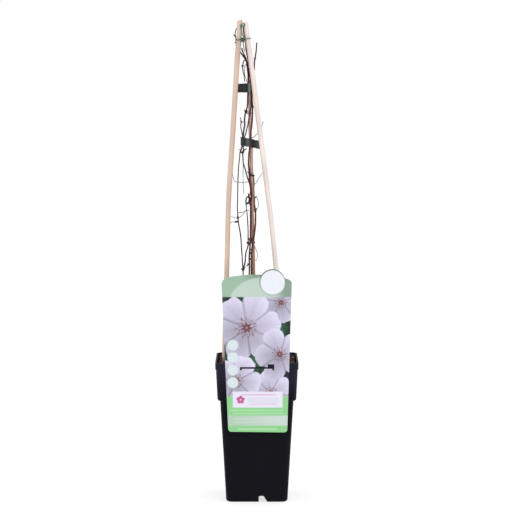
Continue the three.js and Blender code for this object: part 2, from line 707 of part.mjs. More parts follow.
/** The hole for a stick or stem: its own shape, wider by the gap all round and deeper by it. */
function holeFor([[x, y, z], ...above], radii, shape) {
  return rod([[x, y, z - GAP], ...above], radii.map((radius) => radius + GAP), shape);
}

/** The root ball: it fills the pot and has a plain hole for each stick, each stem and the card's hook. */
function makeSoil() {
  const edgeHalf = half(COLLAR_TOP_WIDTH) - LIP_WALL - GAP;
  const profile = [
    [0, FLOOR_TOP_Z + GAP],
    [bodyFootHalf - WALL - FLOOR_BEVEL - 2 * GAP, FLOOR_TOP_Z + GAP],
    [bodyFootHalf - WALL - GAP, FLOOR_TOP_Z + FLOOR_BEVEL + 2 * GAP],
    [half(BODY_TOP_WIDTH) - WALL - GAP, BODY_TOP_Z + half(GAP)],
    [half(COLLAR_FOOT_WIDTH) - WALL - 2 * GAP, COLLAR_FOOT_Z + INNER_STEP_RISE + GAP],
    [edgeHalf, SOIL_EDGE_Z - 2 * SOIL_LUMP],
    [edgeHalf - 2 * SOIL_LUMP, SOIL_EDGE_Z - half(SOIL_LUMP)],
  ];
  for (const share of SOIL_RINGS) {
    const height = THREE.MathUtils.lerp(SOIL_MIDDLE_Z, SOIL_EDGE_Z + half(SOIL_LUMP), share);
    profile.push([edgeHalf * share, height]);
  }
  profile.push([0, SOIL_MIDDLE_Z]);
  const holes = [
    holeFor(CANE_LEFT, CANE_LEFT_RADII, STICK_SHAPE),
    holeFor(CANE_RIGHT, CANE_RIGHT_RADII, STICK_SHAPE),
    holeFor(STAKE, STAKE_RADII, STICK_SHAPE),
    tongueGeometry(2 * GAP),
  ];
  for (const [{ route, radii }] of [STEM_LEFT, STEM_MIDDLE, STEM_RIGHT]) {
    holes.push(holeFor(route, radii, STEM_SHAPE));
  }
  let soil = solid(squareLathe(profile, soilLump));
  for (const hole of holes) soil = soil.subtract(solid(hole));
  return geometryOf(soil);
}

// ---- card -------------------------------------------------------------------------------------

/** The hook on the card's back: over the lip and down inside it. `extra` gives its slit in the soil. */
function tongueGeometry(extra = 0) {
  const back = -half(RIM_WIDTH) - GAP - half(CARD_THICKNESS) - TONGUE_SINK;
  const over = POT_HEIGHT + GAP;
  const inner = -half(RIM_WIDTH) + LIP_WALL + TONGUE_DRAFT + GAP;
  const outline = new THREE.Shape([
    [back - extra, over], [inner, over], [inner - extra, over - TONGUE_DEPTH - extra],
    [inner + CARD_THICKNESS + extra, over - TONGUE_DEPTH - extra],
    [inner + CARD_THICKNESS + extra, over + CARD_THICKNESS + extra],
    [back - extra, over + CARD_THICKNESS + extra],
  ].map(([y, z]) => new THREE.Vector2(y, z)));
  const width = TONGUE_WIDTH + 2 * extra;
  const tongue = new THREE.ExtrudeGeometry(outline, { depth: width, bevelEnabled: false });
  tongue.rotateY(Math.PI / 2);
  tongue.rotateX(Math.PI / 2);
  tongue.translate(-half(width), 0, 0);
  return tongue;
}

/** The card's outline: tapered sides, rounded foot corners, shoulders and a shallow arched top. */
function cardOutline() {
  const [footLeft, footRight] = CARD_BOTTOM_X;
  const [lowLeft, lowRight] = CARD_BOTTOM_Z;
  const [left, right] = CARD_SHOULDER_X;
  const [riseLeft, riseRight] = CARD_SHOULDER_RISE;
  const [[pullLeft, overLeft], [pullRight, overRight]] = CARD_ARCH_PULL;
  const bendZ = CARD_SHOULDER_Z + CARD_SHOULDER_BEND;
  const outline = new THREE.Shape();
  outline.moveTo(footLeft + CARD_CORNER, lowLeft);
  outline.lineTo(footRight - CARD_CORNER, lowRight);
  outline.quadraticCurveTo(footRight, lowRight, footRight + CARD_TAPER, lowRight + CARD_CORNER);
  outline.lineTo(right, CARD_SHOULDER_Z);
  outline.quadraticCurveTo(right, bendZ, right - CARD_SHOULDER_CURVE, CARD_SHOULDER_Z + riseRight);
  outline.quadraticCurveTo(pullRight * right, CARD_TOP_Z + overRight, 0, CARD_TOP_Z);
  const archLeft = left + CARD_SHOULDER_CURVE;
  outline.quadraticCurveTo(pullLeft * left, CARD_TOP_Z + overLeft, archLeft, CARD_SHOULDER_Z + riseLeft);
  outline.quadraticCurveTo(left, bendZ, left, CARD_SHOULDER_Z);
  outline.lineTo(footLeft - CARD_TAPER, lowLeft + CARD_CORNER);
  outline.quadraticCurveTo(footLeft, lowLeft, footLeft + CARD_CORNER, lowLeft);
  return outline;
}

/** Lays a flat sheet, drawn as [x, z] points, against the lip, leaning out towards its top. */
function leaned(sheet) {
  sheet.translate(0, -CARD_HOOK_Z, 0);
  sheet.rotateX(Math.PI / 2 + CARD_TILT);
  sheet.translate(0, -half(RIM_WIDTH) - GAP, CARD_HOOK_Z);
  return sheet;
}

function makeCard() {
  const outline = cardOutline();
  outline.holes.push(new THREE.Path(SLOT.map(([x, z]) => new THREE.Vector2(x, z))));
  const sheet = { depth: CARD_THICKNESS, bevelEnabled: false, curveSegments: 6 };
  const card = leaned(new THREE.ExtrudeGeometry(outline, sheet));
  const badge = new THREE.CylinderGeometry(BADGE_RADIUS, BADGE_RADIUS, CARD_THICKNESS, BADGE_SIDES);
  badge.rotateX(Math.PI / 2);
  badge.translate(BADGE_X, BADGE_Z, half(CARD_THICKNESS));
  return geometryOf(joined([solid(card), solid(leaned(badge)), solid(tongueGeometry())]));
}

// ---- ties -------------------------------------------------------------------------------------

/** A band of tape: a loop seen from above, with its two ends closed together as a flat tail. */
function makeTape({ loop, tail, bottomZ, height, slope }) {
  const corners = loop.map(([x, y]) => new THREE.Vector3(x, y, 0));
  const inner = new THREE.CatmullRomCurve3(corners, true, 'centripetal');
  const steps = 2 * loop.length;
  const insidePoints = inner.getPoints(steps).slice(0, steps);
  const outsidePoints = insidePoints.map((point, i) => {
    const before = insidePoints[(i + steps - 1) % steps];
    const after = insidePoints[(i + 1) % steps];
    const along = after.clone().sub(before).normalize();
    return new THREE.Vector2(point.x + along.y * TAPE_THICKNESS, point.y - along.x * TAPE_THICKNESS);
  });
  const ring = new THREE.Shape(outsidePoints);
  ring.holes.push(new THREE.Path(insidePoints.map(({ x, y }) => new THREE.Vector2(x, y))));
  const strip = { depth: height, bevelEnabled: false };
  const tailShape = new THREE.Shape(tail.map(([x, y]) => new THREE.Vector2(x, y)));
  const band = joined([
    solid(new THREE.ExtrudeGeometry(ring, strip)),
    solid(new THREE.ExtrudeGeometry(tailShape, strip)),
  ]);
  const geometry = geometryOf(band);
  const position = geometry.attributes.position;
  for (let i = 0; i < position.count; i++) {
    const rise = slope * (position.getX(i) - loop[0][0]);
    position.setZ(i, position.getZ(i) + bottomZ + rise);
  }
  return geometry;
}

const UPPER_TAPE = {
  loop: [
    [-16.6, 5.8], [-15.8, 3.2], [-13.4, 1.9], [-10.6, 1.3], [-8.2, 1.4], [-7.1, 3.2], [-6.9, 5.6],
    [-8, 9.4], [-8.6, 12.8], [-10.4, 14.1], [-12.6, 13.9], [-14.4, 11.4], [-15.8, 8.2],
  ],
  tail: [
    [-33, 5.4], [-28, 5], [-22, 5.2], [-16.7, 5.2], [-16.7, 6.4], [-22, 6.4], [-28, 6.2],
    [-33, 6.6],
  ],
  bottomZ: 649.4,
  height: 14,
  slope: 0.03,
};
const LOWER_TAPE = {
  loop: [
    [-25.4, 4.2], [-23.8, 1.6], [-20, 0.9], [-14, 0.8], [-8, 1.5], [-4.8, 3.2], [-4.3, 7],
    [-5, 11.6], [-7.3, 14.2], [-10.6, 14.7], [-15, 11.5], [-21, 7.8], [-24.7, 6.4],
  ],
  tail: [
    [-4.5, 3], [2, 2.6], [6, 2.6], [9.5, 2.9], [9.5, 4.1], [6, 3.8], [2, 3.8], [-4.5, 4.2],
  ],
  bottomZ: 565.5,
  height: 13,
  slope: -0.2,
};

const WIRE_RADII = [0.75, 0.75];
const WIRE_SHAPE = { sides: 5, spacing: 3 };
const KNOT_SHAPE = { sides: 5, spacing: 1.6 };
const TIE_RING = [
  [-33.9, -0.6, 731.4], [-32.7, -4.2, 731.6], [-28.3, -6.1, 732], [-22, -6.1, 732.6],
  [-15.1, -5.7, 733.6], [-10.9, -3.9, 734.4], [-9.6, -0.6, 734.6], [-10.8, 3.3, 734.4],
  [-14.6, 5.6, 733.8], [-18.6, 7.1, 733.2], [-23, 6.4, 732.4], [-28.4, 5.3, 731.8],
  [-32.9, 3.1, 731.4],
];
const KNOT_FOOT = [-22.2, -6, 728.6];
const KNOT_HEIGHT = 6.9;
const KNOT_TURNS = 3;
const KNOT_TURN_STEPS = 8;
const KNOT_RADII = [2.5, 1.8]; // across and front to back
const TIE_END_UP = [
  [-19.7, -6, 735.3], [-21.3, -6.9, 736.9], [-22.7, -6.2, 739.6], [-23.8, -5.6, 745.2],
  [-25.2, -5.3, 750.6], [-25.7, -5.3, 753.4], [-24.1, -5.5, 755.9], [-21.6, -5.6, 757.5],
  [-19.4, -5.6, 756.5], [-19.4, -5.5, 754], [-21.9, -5.9, 752.7], [-24.6, -6.3, 751.2],
];
const TIE_COIL = [
  [-24.2, -6.1, 751.8], [-23.9, -5.6, 753.8], [-22.4, -5.5, 755.3], [-21.1, -5.6, 754.5],
  [-21.6, -5.8, 753.2],
];
const TIE_END_DOWN = [
  [-19.7, -6, 728.8], [-21.6, -6.2, 727], [-21, -5, 723.1], [-20.6, -4.2, 720], [-20, -3.6, 716.9],
  [-19.4, -3.2, 713.7],
];

/** A ring of wire round both canes, with its ends twisted into a knot in front and left long. */
function makeTwistTie() {
  const [knotX, knotY, knotZ] = KNOT_FOOT;
  const [across, deep] = KNOT_RADII;
  const steps = KNOT_TURN_STEPS * KNOT_TURNS;
  const knot = Array.from({ length: steps + 1 }, (_, i) => {
    const angle = (i / KNOT_TURN_STEPS) * 2 * Math.PI;
    const height = KNOT_HEIGHT * i / steps;
    return [knotX + across * Math.cos(angle), knotY + deep * Math.sin(angle), knotZ + height];
  });
  return geometryOf(joined([
    solid(rod([...TIE_RING, TIE_RING[0]], WIRE_RADII, WIRE_SHAPE)),
    solid(rod(knot, WIRE_RADII, KNOT_SHAPE)),
    solid(rod(TIE_END_UP, WIRE_RADII, WIRE_SHAPE)),
    solid(rod(TIE_COIL, WIRE_RADII, WIRE_SHAPE)),
    solid(rod(TIE_END_DOWN, WIRE_RADII, WIRE_SHAPE)),
  ]));
}

// ---- assembly ---------------------------------------------------------------------------------

const FINISHES = {
  potPlastic: { color: 0x26262f, roughness: 0.55 },
  compost: { color: 0x4a3128, roughness: 0.95 },
  planedCane: { color: 0xe8cdb8, roughness: 0.7 },
  brownCane: { color: 0x8f6650, roughness: 0.75 },
  bark: { color: 0x4a2f33, roughness: 0.85 },
  tapePlastic: { color: 0x2b3431, roughness: 0.35 },
  greenWire: { color: 0x2e6b4f, roughness: 0.5 },
  printedCard: { color: 0xa9c9ab, roughness: 0.35 },
};

const plant = new THREE.Group();

function addPiece(name, geometry, finish) {
  const mesh = new THREE.Mesh(geometry, new THREE.MeshStandardMaterial({ ...finish, metalness: 0 }));
  mesh.name = name;
  plant.add(mesh);
}

addPiece('pot', makePot(), FINISHES.potPlastic);
addPiece('soil', makeSoil(), FINISHES.compost);
addPiece('cane_left', makeCane(CANE_LEFT, CANE_LEFT_RADII), FINISHES.planedCane);
addPiece('cane_right', makeCane(CANE_RIGHT, CANE_RIGHT_RADII), FINISHES.planedCane);
addPiece('stake', makeStake(), FINISHES.brownCane);
addPiece('stem_left', makeStem(STEM_LEFT), FINISHES.bark);
addPiece('stem_middle', makeStem(STEM_MIDDLE), FINISHES.bark);
addPiece('stem_right', makeStem(STEM_RIGHT), FINISHES.bark);
addPiece('tape_tie_upper', makeTape(UPPER_TAPE), FINISHES.tapePlastic);
addPiece('tape_tie_lower', makeTape(LOWER_TAPE), FINISHES.tapePlastic);
addPiece('twist_tie', makeTwistTie(), FINISHES.greenWire);
addPiece('label', makeCard(), FINISHES.printedCard);

export default plant;
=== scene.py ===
"""A young climbing plant in its nursery pot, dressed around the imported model.

A tall square pot of compost carries three sticks tied into a narrow frame, three bare winding
stems, two loops of tying tape, a twist tie and a printed card. Lengths are in millimetres, +Z up,
with the origin in the middle of the pot's base, until a mesh is written in metres.
"""

import logging
import math
from dataclasses import dataclass
from enum import Enum
from typing import Callable, Sequence

import bpy
import numpy as np
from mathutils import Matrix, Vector

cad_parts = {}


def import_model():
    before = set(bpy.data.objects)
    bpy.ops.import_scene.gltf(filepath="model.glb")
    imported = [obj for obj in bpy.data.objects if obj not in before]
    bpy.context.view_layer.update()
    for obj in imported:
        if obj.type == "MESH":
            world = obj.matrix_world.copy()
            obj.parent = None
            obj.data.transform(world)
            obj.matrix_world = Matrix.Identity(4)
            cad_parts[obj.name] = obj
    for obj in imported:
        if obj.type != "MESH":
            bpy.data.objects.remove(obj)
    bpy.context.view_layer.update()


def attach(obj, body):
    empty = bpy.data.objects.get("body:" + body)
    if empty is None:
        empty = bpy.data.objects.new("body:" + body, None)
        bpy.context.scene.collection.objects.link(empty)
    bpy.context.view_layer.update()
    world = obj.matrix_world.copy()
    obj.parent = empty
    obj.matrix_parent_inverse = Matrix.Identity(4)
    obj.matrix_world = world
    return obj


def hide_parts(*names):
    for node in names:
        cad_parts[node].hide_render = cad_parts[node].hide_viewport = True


LOG = logging.getLogger("potted_climber")

Array = np.ndarray
Tree = bpy.types.NodeTree
Piece = bpy.types.Object
Point = tuple[float, float, float]
Route = Sequence[Point]
Colour = str | Array  # "#rrggbb" in sRGB, or rows of sRGB channels from 0 to 1
Pattern = Callable[[Array, Array], Array]  # a value for each point of a grid, from two of its measures

MM = 0.001
BODY = "root"
CURVE_SAMPLES = 24  # places worked out between two points of a route
NOISE_WAVES = 20  # sine waves added up to one noise
THINNEST = 0.02  # the least radius of a rod, in mm


class Slot(Enum):
    """The record's material slots."""

    POT = "pot_plastic"
    COMPOST = "compost"
    PALE_CANE = "pale_cane"
    BROWN_CANE = "brown_cane"
    BARK = "bark"
    TAPE = "tying_tape"
    WIRE = "green_wire"
    CARD = "printed_card"


# ---- colours and noise ----


def channels(colour: Colour) -> Array:
    """Gives a colour as sRGB channels.

    Args:
        colour: A hex colour, or channels that come back as they are.

    Returns:
        The channels, from 0 to 1.
    """
    if isinstance(colour, str):
        return np.array([int(colour[i : i + 2], 16) for i in (1, 3, 5)]) / 255.0
    return np.asarray(colour, float)


def linear(colour: Colour) -> Array:
    """Turns sRGB into linear light.

    Formula: a channel under 0.04045 is divided by 12.92, and any other is shifted by 0.055, scaled
    by 1.055 and raised to 2.4.

    Args:
        colour: A hex colour, or rows of channels.

    Returns:
        The linear channels with an alpha of 1 after them.
    """
    srgb = channels(colour)
    low = srgb / 12.92
    high = ((np.maximum(srgb, 0.0) + 0.055) / 1.055) ** 2.4
    light = np.where(srgb <= 0.04045, low, high)
    return np.concatenate([light, np.ones(light.shape[:-1] + (1,))], axis=-1)


def mix(first: Colour, second: Colour, share: Array | float) -> Array:
    """Blends two colours, or two sets of colours.

    Args:
        first: What shows where the share is 0.
        second: What shows where it is 1.
        share: One share for all colours, or one for each.

    Returns:
        The blended sRGB channels.
    """
    weight = np.asarray(share, float)
    if weight.ndim:
        weight = weight[..., None]
    return channels(first) * (1.0 - weight) + channels(second) * weight


def soft_step(value: Array, edge: float, width: float) -> Array:
    """Rises from 0 to 1 along a straight ramp of that width round the edge."""
    return np.clip((value - edge) / width + 0.5, 0.0, 1.0)


def band(value: Array, low: float, high: float, width: float) -> Array:
    """Is 1 between two edges and 0 outside them, with a ramp of that width at each."""
    return soft_step(value, low, width) * soft_step(-value, -high, width)


def bell(value: Array, middle: Array | float, reach: float) -> Array:
    """A bell curve that is 1 at the middle and 0.37 at that reach from it."""
    return np.exp(-(((value - middle) / reach) ** 2))


def smooth_noise(points: Array, wavelength: float, seed: int) -> Array:
    """Smooth seeded noise at many places at once.

    Formula: a sum of sine waves, each with its own direction, phase and a length near the given
    one, divided so that most values fall between -1 and 1.

    Args:
        points: (..., d) places.
        wavelength: The typical distance between two crests, in the places' unit.
        seed: The seed of the directions and phases.

    Returns:
        One value for each place.
    """
    draw = np.random.default_rng(seed)
    directions = draw.normal(size=(points.shape[-1], NOISE_WAVES))
    directions /= np.linalg.norm(directions, axis=0)
    lengths = wavelength * draw.uniform(0.7, 1.6, NOISE_WAVES)
    phases = draw.uniform(0.0, 2.0 * math.pi, NOISE_WAVES)
    places = points.reshape(-1, points.shape[-1])
    crests = np.sin(places @ (directions * (2.0 * math.pi / lengths)) + phases)
    return (crests.sum(axis=1) / math.sqrt(NOISE_WAVES)).reshape(points.shape[:-1])


def unevenness(distance: Array, angle: Array, stretch: float, wavelength: float, seed: int) -> Array:
    """Smooth noise over a rod's surface, stretched along it by that factor."""
    places = np.broadcast_arrays(distance / stretch, np.cos(angle), np.sin(angle))
    return smooth_noise(np.stack(places, axis=-1), wavelength, seed)


# ---- surfaces ----


@dataclass
class Surface:
    """A closed surface before it becomes a mesh.

    Attributes:
        points: (n, 3) places in mm.
        quads: (m, 4) indices of the four-cornered faces.
        triangles: (k, 3) indices of the three-cornered faces.
        straight: (n, 3) places in mm as they would lie if the piece were straightened along +Z.
        tint: (n, 3) sRGB colours that the finish starts from.
    """

    points: Array
    quads: Array
    triangles: Array
    straight: Array
    tint: Array

    def facing_out(self) -> "Surface":
        """Turns every face round if the surface encloses a negative volume.

        Returns:
            The surface itself.
        """
        halves = [self.quads[:, [0, 1, 2]], self.quads[:, [0, 2, 3]], self.triangles]
        faces = np.concatenate(halves)
        first, second, third = (self.points[faces[:, i]] for i in range(3))
        if np.sum(first * np.cross(second, third)) < 0.0:
            self.quads = self.quads[:, ::-1]
            self.triangles = self.triangles[:, ::-1]
        return self


def joined(surfaces: Sequence[Surface]) -> Surface:
    """Puts closed surfaces into one.

    Args:
        surfaces: The surfaces.

    Returns:
        The one surface, in which each keeps its own points.
    """
    starts = np.cumsum([0] + [len(s.points) for s in surfaces[:-1]])
    return Surface(
        points=np.concatenate([s.points for s in surfaces]),
        quads=np.concatenate([s.quads + start for s, start in zip(surfaces, starts)]),
        triangles=np.concatenate([s.triangles + start for s, start in zip(surfaces, starts)]),
        straight=np.concatenate([s.straight for s in surfaces]),
        tint=np.concatenate([s.tint for s in surfaces]),
    )


def grid_quads(rows: int, columns: int, closed: bool) -> Array:
    """The faces of a grid whose points are numbered row by row.

    Args:
        rows: Rows of points.
        columns: Points in a row.
        closed: Whether each row's last point joins its first.

    Returns:
        (m, 4) indices.
    """
    row = np.arange(rows - 1)[:, None] * columns
    column = np.arange(columns if closed else columns - 1)[None, :]
    beside = (column + 1) % columns
    corners = [row + column, row + beside, row + columns + beside, row + columns + column]
    return np.stack([c.ravel() for c in np.broadcast_arrays(*corners)], axis=1)


def closed_rings(rings: Array, straight: Array | None = None, tint: Array | None = None) -> Surface:
    """A closed surface over a stack of rings.

    Formula: each ring joins the next by a band of quads, and the middle of the first and of the
    last ring is a pole that a fan of triangles closes.

    Args:
        rings: (r, s, 3) places in mm.
        straight: (r, s, 3) places of the straightened piece, or the rings again where it is None.
        tint: (r, s, 3) sRGB colours, or white where it is None.

    Returns:
        The surface, with its faces pointing out.
    """
    count, sides, _ = rings.shape

    def with_poles(values: Array) -> Array:
        """The rings' values as one list, with those of the two poles after them."""
        ends = [values[0].mean(axis=0), values[-1].mean(axis=0)]
        return np.concatenate([values.reshape(-1, 3), ends])

    around = np.arange(sides)
    beside = (around + 1) % sides
    last = (count - 1) * sides
    first_pole = np.full(sides, count * sides)
    fans = [
        np.stack([beside, around, first_pole], axis=1),
        np.stack([last + around, last + beside, first_pole + 1], axis=1),
    ]
    surface = Surface(
        points=with_poles(rings),
        quads=grid_quads(count, sides, closed=True),
        triangles=np.concatenate(fans),
        straight=with_poles(rings if straight is None else straight),
        tint=with_poles(np.ones_like(rings) if tint is None else tint),
    )
    return surface.facing_out()


# ---- routes and rods ----


def quadratic(start: Array, pull: Array, end: Array, share: Array) -> Array:
    """A quadratic curve from start to end that leans towards pull, at shares from 0 to 1."""
    return start * (1 - share) ** 2 + pull * 2 * share * (1 - share) + end * share**2


def turned(first: Array, second: Array, angle: Array | float) -> tuple[Array, Array]:
    """Two coordinates after a turn by the angle, from the first axis towards the second."""
    cos, sin = np.cos(angle), np.sin(angle)
    return first * cos - second * sin, first * sin + second * cos


def smooth_route(route: Route) -> Array:
    """A smooth curve through given points.

    Formula: a centripetal Catmull-Rom spline. Each stretch is a cubic whose end slopes come from
    the neighbouring points, weighted by the square roots of the distances between them.

    Args:
        route: The points, in mm.

    Returns:
        (n, 3) places, CURVE_SAMPLES to a stretch and the last point.
    """
    points = np.asarray(route, float)
    before = 2.0 * points[0] - points[1]
    after = 2.0 * points[-1] - points[-2]
    padded = np.vstack([before, points, after])
    gaps = np.sqrt(np.linalg.norm(np.diff(padded, axis=0), axis=1))[:, None]
    gap0, gap1, gap2 = gaps[:-2], gaps[1:-1], gaps[2:]
    p0, p1, p2, p3 = padded[:-3], padded[1:-2], padded[2:-1], padded[3:]
    slope1 = ((p1 - p0) / gap0 - (p2 - p0) / (gap0 + gap1) + (p2 - p1) / gap1) * gap1
    slope2 = ((p2 - p1) / gap1 - (p3 - p1) / (gap1 + gap2) + (p3 - p2) / gap2) * gap1
    share = np.linspace(0.0, 1.0, CURVE_SAMPLES, endpoint=False)[None, :, None]
    square, cube = share**2, share**3
    cubic = (
        (2 * cube - 3 * square + 1) * p1[:, None]
        + (cube - 2 * square + share) * slope1[:, None]
        + (3 * square - 2 * cube) * p2[:, None]
        + (cube - square) * slope2[:, None]
    )
    return np.vstack([cubic.reshape(-1, 3), points[-1]])


def distances_along(curve: Array) -> Array:
    """How far along the curve each of its places lies, in mm."""
    steps = np.linalg.norm(np.diff(curve, axis=0), axis=1)
    return np.concatenate([[0.0], np.cumsum(steps)])


def read_off(values: Array, reach: Array, stations: Array) -> Array:
    """Rows of values that are known at some distances along a curve, read off at other ones."""
    return np.stack([np.interp(stations, reach, column) for column in values.T], axis=1)


def turning_frames(along: Array) -> tuple[Array, Array]:
    """Two sideways directions at each ring of a route, with no twist between neighbours.

    Args:
        along: (r, 3) unit directions of the route.

    Returns:
        The side and front directions, each (r, 3).
    """
    side = np.array([1.0, 0.0, 0.0]) if abs(along[0, 0]) < 0.9 else np.array([0.0, 1.0, 0.0])
    sides = np.empty_like(along)
    for ring, direction in enumerate(along):
        side = side - direction * (side @ direction)
        side = side / np.linalg.norm(side)
        sides[ring] = side
    return sides, np.cross(along, sides)


@dataclass(frozen=True)
class Rod:
    """A round stick, shoot or wire carried along a smooth route.

    Attributes:
        route: Its points from root to tip, in mm.
        radii: Its radius at the root and at the tip.
        sides: Points round each ring.
        spacing: The distance between rings.
        inset: How far its end edges are rounded in, or None for a fully rounded tip.
    """

    route: Route
    radii: tuple[float, float]
    sides: int
    spacing: float
    inset: float | None = None

    def stations(self, length: float) -> Array:
        """Distances of the rings: even ones, and a quarter circle of closer ones at both ends.

        Args:
            length: The rod's length.

        Returns:
            The distances, from 0 to the length.
        """
        even = np.linspace(0.0, length, max(4, round(length / self.spacing)))
        arc = 1.0 - np.cos(np.linspace(0.0, math.pi / 2, 5))
        foot = arc * (self.inset or self.radii[0])
        tip = length - arc * (self.inset or self.radii[1])
        inner = even[(even > foot[-1]) & (even < tip[-1])]
        return np.unique(np.concatenate([foot, inner, tip]))

    def surface(self, relief: Pattern | None = None, tint: Pattern | None = None) -> Surface:
        """The rod's closed surface.

        Formula: at each ring the radius runs evenly from root to tip, times the relief, less a
        quarter-round inset near the ends. The ring lies across the route at that distance.

        Args:
            relief: Gives a factor for the radius from the distance along and the angle round.
            tint: Gives sRGB colours from the rings' places and the outward directions.

        Returns:
            The surface.
        """
        curve = smooth_route(self.route)
        reach = distances_along(curve)
        stations = self.stations(reach[-1])
        centres = read_off(curve, reach, stations)
        along = read_off(np.gradient(curve, reach, axis=0), reach, stations)
        along /= np.linalg.norm(along, axis=1)[:, None]
        side, front = turning_frames(along)
        angle = np.linspace(0.0, 2.0 * math.pi, self.sides, endpoint=False)[None, :]
        cos, sin = np.cos(angle), np.sin(angle)
        distance = stations[:, None]
        root, tip = self.radii
        radius = np.repeat(root + (tip - root) * (distance / reach[-1]), self.sides, axis=1)
        if relief is not None:
            radius = radius * relief(distance, angle)
        for from_end, end_radius in ((distance, root), (reach[-1] - distance, tip)):
            inset = self.inset or end_radius
            left = 1.0 - np.clip(from_end / inset, 0.0, 1.0)
            radius = radius - inset * (1.0 - np.sqrt(1.0 - left**2))
        radius = np.maximum(radius, THINNEST)
        outward = side[:, None] * cos[..., None] + front[:, None] * sin[..., None]
        rings = centres[:, None] + outward * radius[..., None]
        straight = np.stack([radius * cos, radius * sin, distance + 0.0 * angle], axis=-1)
        colours = tint(rings, outward) if tint is not None else None
        return closed_rings(rings, straight, colours)


# ---- finishes ----


def add_node(
    tree: Tree, kind: str, settings: dict | None = None, sockets: dict | None = None
) -> bpy.types.Node:
    """Adds one shader node.

    Args:
        tree: The material's node tree.
        kind: Blender's name for the node.
        settings: Its properties.
        sockets: Its inputs by name or number, each a value or an output socket to link.

    Returns:
        The node.
    """
    node = tree.nodes.new(kind)
    for name, value in (settings or {}).items():
        setattr(node, name, value)
    for socket, value in (sockets or {}).items():
        if isinstance(value, bpy.types.NodeSocket):
            tree.links.new(value, node.inputs[socket])
        else:
            node.inputs[socket].default_value = value
    return node


@dataclass(frozen=True)
class Finish:
    """What every finish shares: a named material with one glossy or dull shader.

    Attributes:
        name: The material's name.
        roughness: Its roughness, typical for the real surface.
        ior: Its index of refraction.
        specular: How strong its reflection is, 0.5 for a clean polished surface.
    """

    name: str
    roughness: float
    ior: float = 1.5
    specular: float = 0.5

    def material(self) -> bpy.types.Material:
        """The finish's material, made when it is first asked for.

        Returns:
            The material.
        """
        made = bpy.data.materials.get(self.name)
        if made is not None:
            return made
        made = bpy.data.materials.new(self.name)
        made.use_nodes = True
        tree = made.node_tree
        tree.nodes.clear()
        values = {"Roughness": self.roughness, "IOR": self.ior, "Specular IOR Level": self.specular}
        shader = add_node(tree, "ShaderNodeBsdfPrincipled", sockets=values)
        self.pattern(tree, shader)
        add_node(tree, "ShaderNodeOutputMaterial", sockets={"Surface": shader.outputs[0]})
        return made

    def pattern(self, tree: Tree, shader: bpy.types.Node) -> None:
        """Adds the finish's own nodes to the shader.

        Args:
            tree: The material's node tree.
            shader: The principled shader.
        """
        raise NotImplementedError


@dataclass(frozen=True)
class MouldedPolypropylene(Finish):
    """Black polypropylene, injection moulded against a spark-eroded mould.

    It looks deep black with a faint blue cast and a dull sheen. It turns lighter and bluer towards the
    upper part, in cloudy patches, and the grain of the mould breaks up the reflections.

    Attributes:
        rim_tone_share: How far the colour turns to the lighter tone at those heights.
        patches: That share's factor in the faintest and in the strongest patch.
    """

    colour: str = "#04040c"
    rim_tone: str = "#2e2e40"
    rim_tone_z: tuple[float, float] = (150.0, 226.0)
    rim_tone_share: tuple[float, float] = (0.04, 0.5)
    cloud: float = 38.0
    patches: tuple[float, float] = (0.4, 1.3)
    grain: float = 0.9  # the real grain is near 0.2 mm and too fine to show

    def pattern(self, tree: Tree, shader: bpy.types.Node) -> None:
        """Adds a black base that turns lighter towards the rim in cloudy patches, and a moulded grain.

        Args:
            tree: The material's node tree.
            shader: The principled shader.
        """
        place = add_node(tree, "ShaderNodeTexCoord").outputs["Object"]
        grains = {"Vector": place, "Scale": 1 / (self.grain * MM)}
        grain = add_node(tree, "ShaderNodeTexNoise", sockets=grains).outputs["Fac"]
        clouds = {"Vector": place, "Scale": 1 / (self.cloud * MM), "Detail": 5.0}
        cloud = add_node(tree, "ShaderNodeTexNoise", sockets=clouds).outputs["Fac"]
        height = add_node(tree, "ShaderNodeSeparateXYZ", sockets={"Vector": place}).outputs["Z"]
        low, high = (z * MM for z in self.rim_tone_z)
        climb = {0: height, 1: low, 2: high, 3: self.rim_tone_share[0], 4: self.rim_tone_share[1]}
        ease = {"interpolation_type": "SMOOTHSTEP"}
        rise = add_node(tree, "ShaderNodeMapRange", ease, climb).outputs[0]
        spread = {0: cloud, 1: 0.3, 2: 0.7, 3: self.patches[0], 4: self.patches[1]}
        patches = add_node(tree, "ShaderNodeMapRange", sockets=spread).outputs[0]
        # lighter and bluer towards the rim, in cloudy patches
        rim_tone_mix = add_node(tree, "ShaderNodeMath", {"operation": "MULTIPLY"}, {0: rise, 1: patches})
        colours = {0: rim_tone_mix.outputs[0], 6: linear(self.colour), 7: linear(self.rim_tone)}
        colour = add_node(tree, "ShaderNodeMix", {"data_type": "RGBA"}, colours).outputs[2]
        wear = {0: cloud, 1: 0.3, 2: 0.7, 3: self.roughness - 0.07, 4: self.roughness + 0.1}
        gloss = add_node(tree, "ShaderNodeMapRange", sockets=wear).outputs[0]
        relief = {"Strength": 0.25, "Distance": 0.05 * MM, "Height": grain}
        bump = add_node(tree, "ShaderNodeBump", sockets=relief).outputs[0]
        tree.links.new(colour, shader.inputs["Base Color"])
        tree.links.new(gloss, shader.inputs["Roughness"])
        tree.links.new(bump, shader.inputs["Normal"])


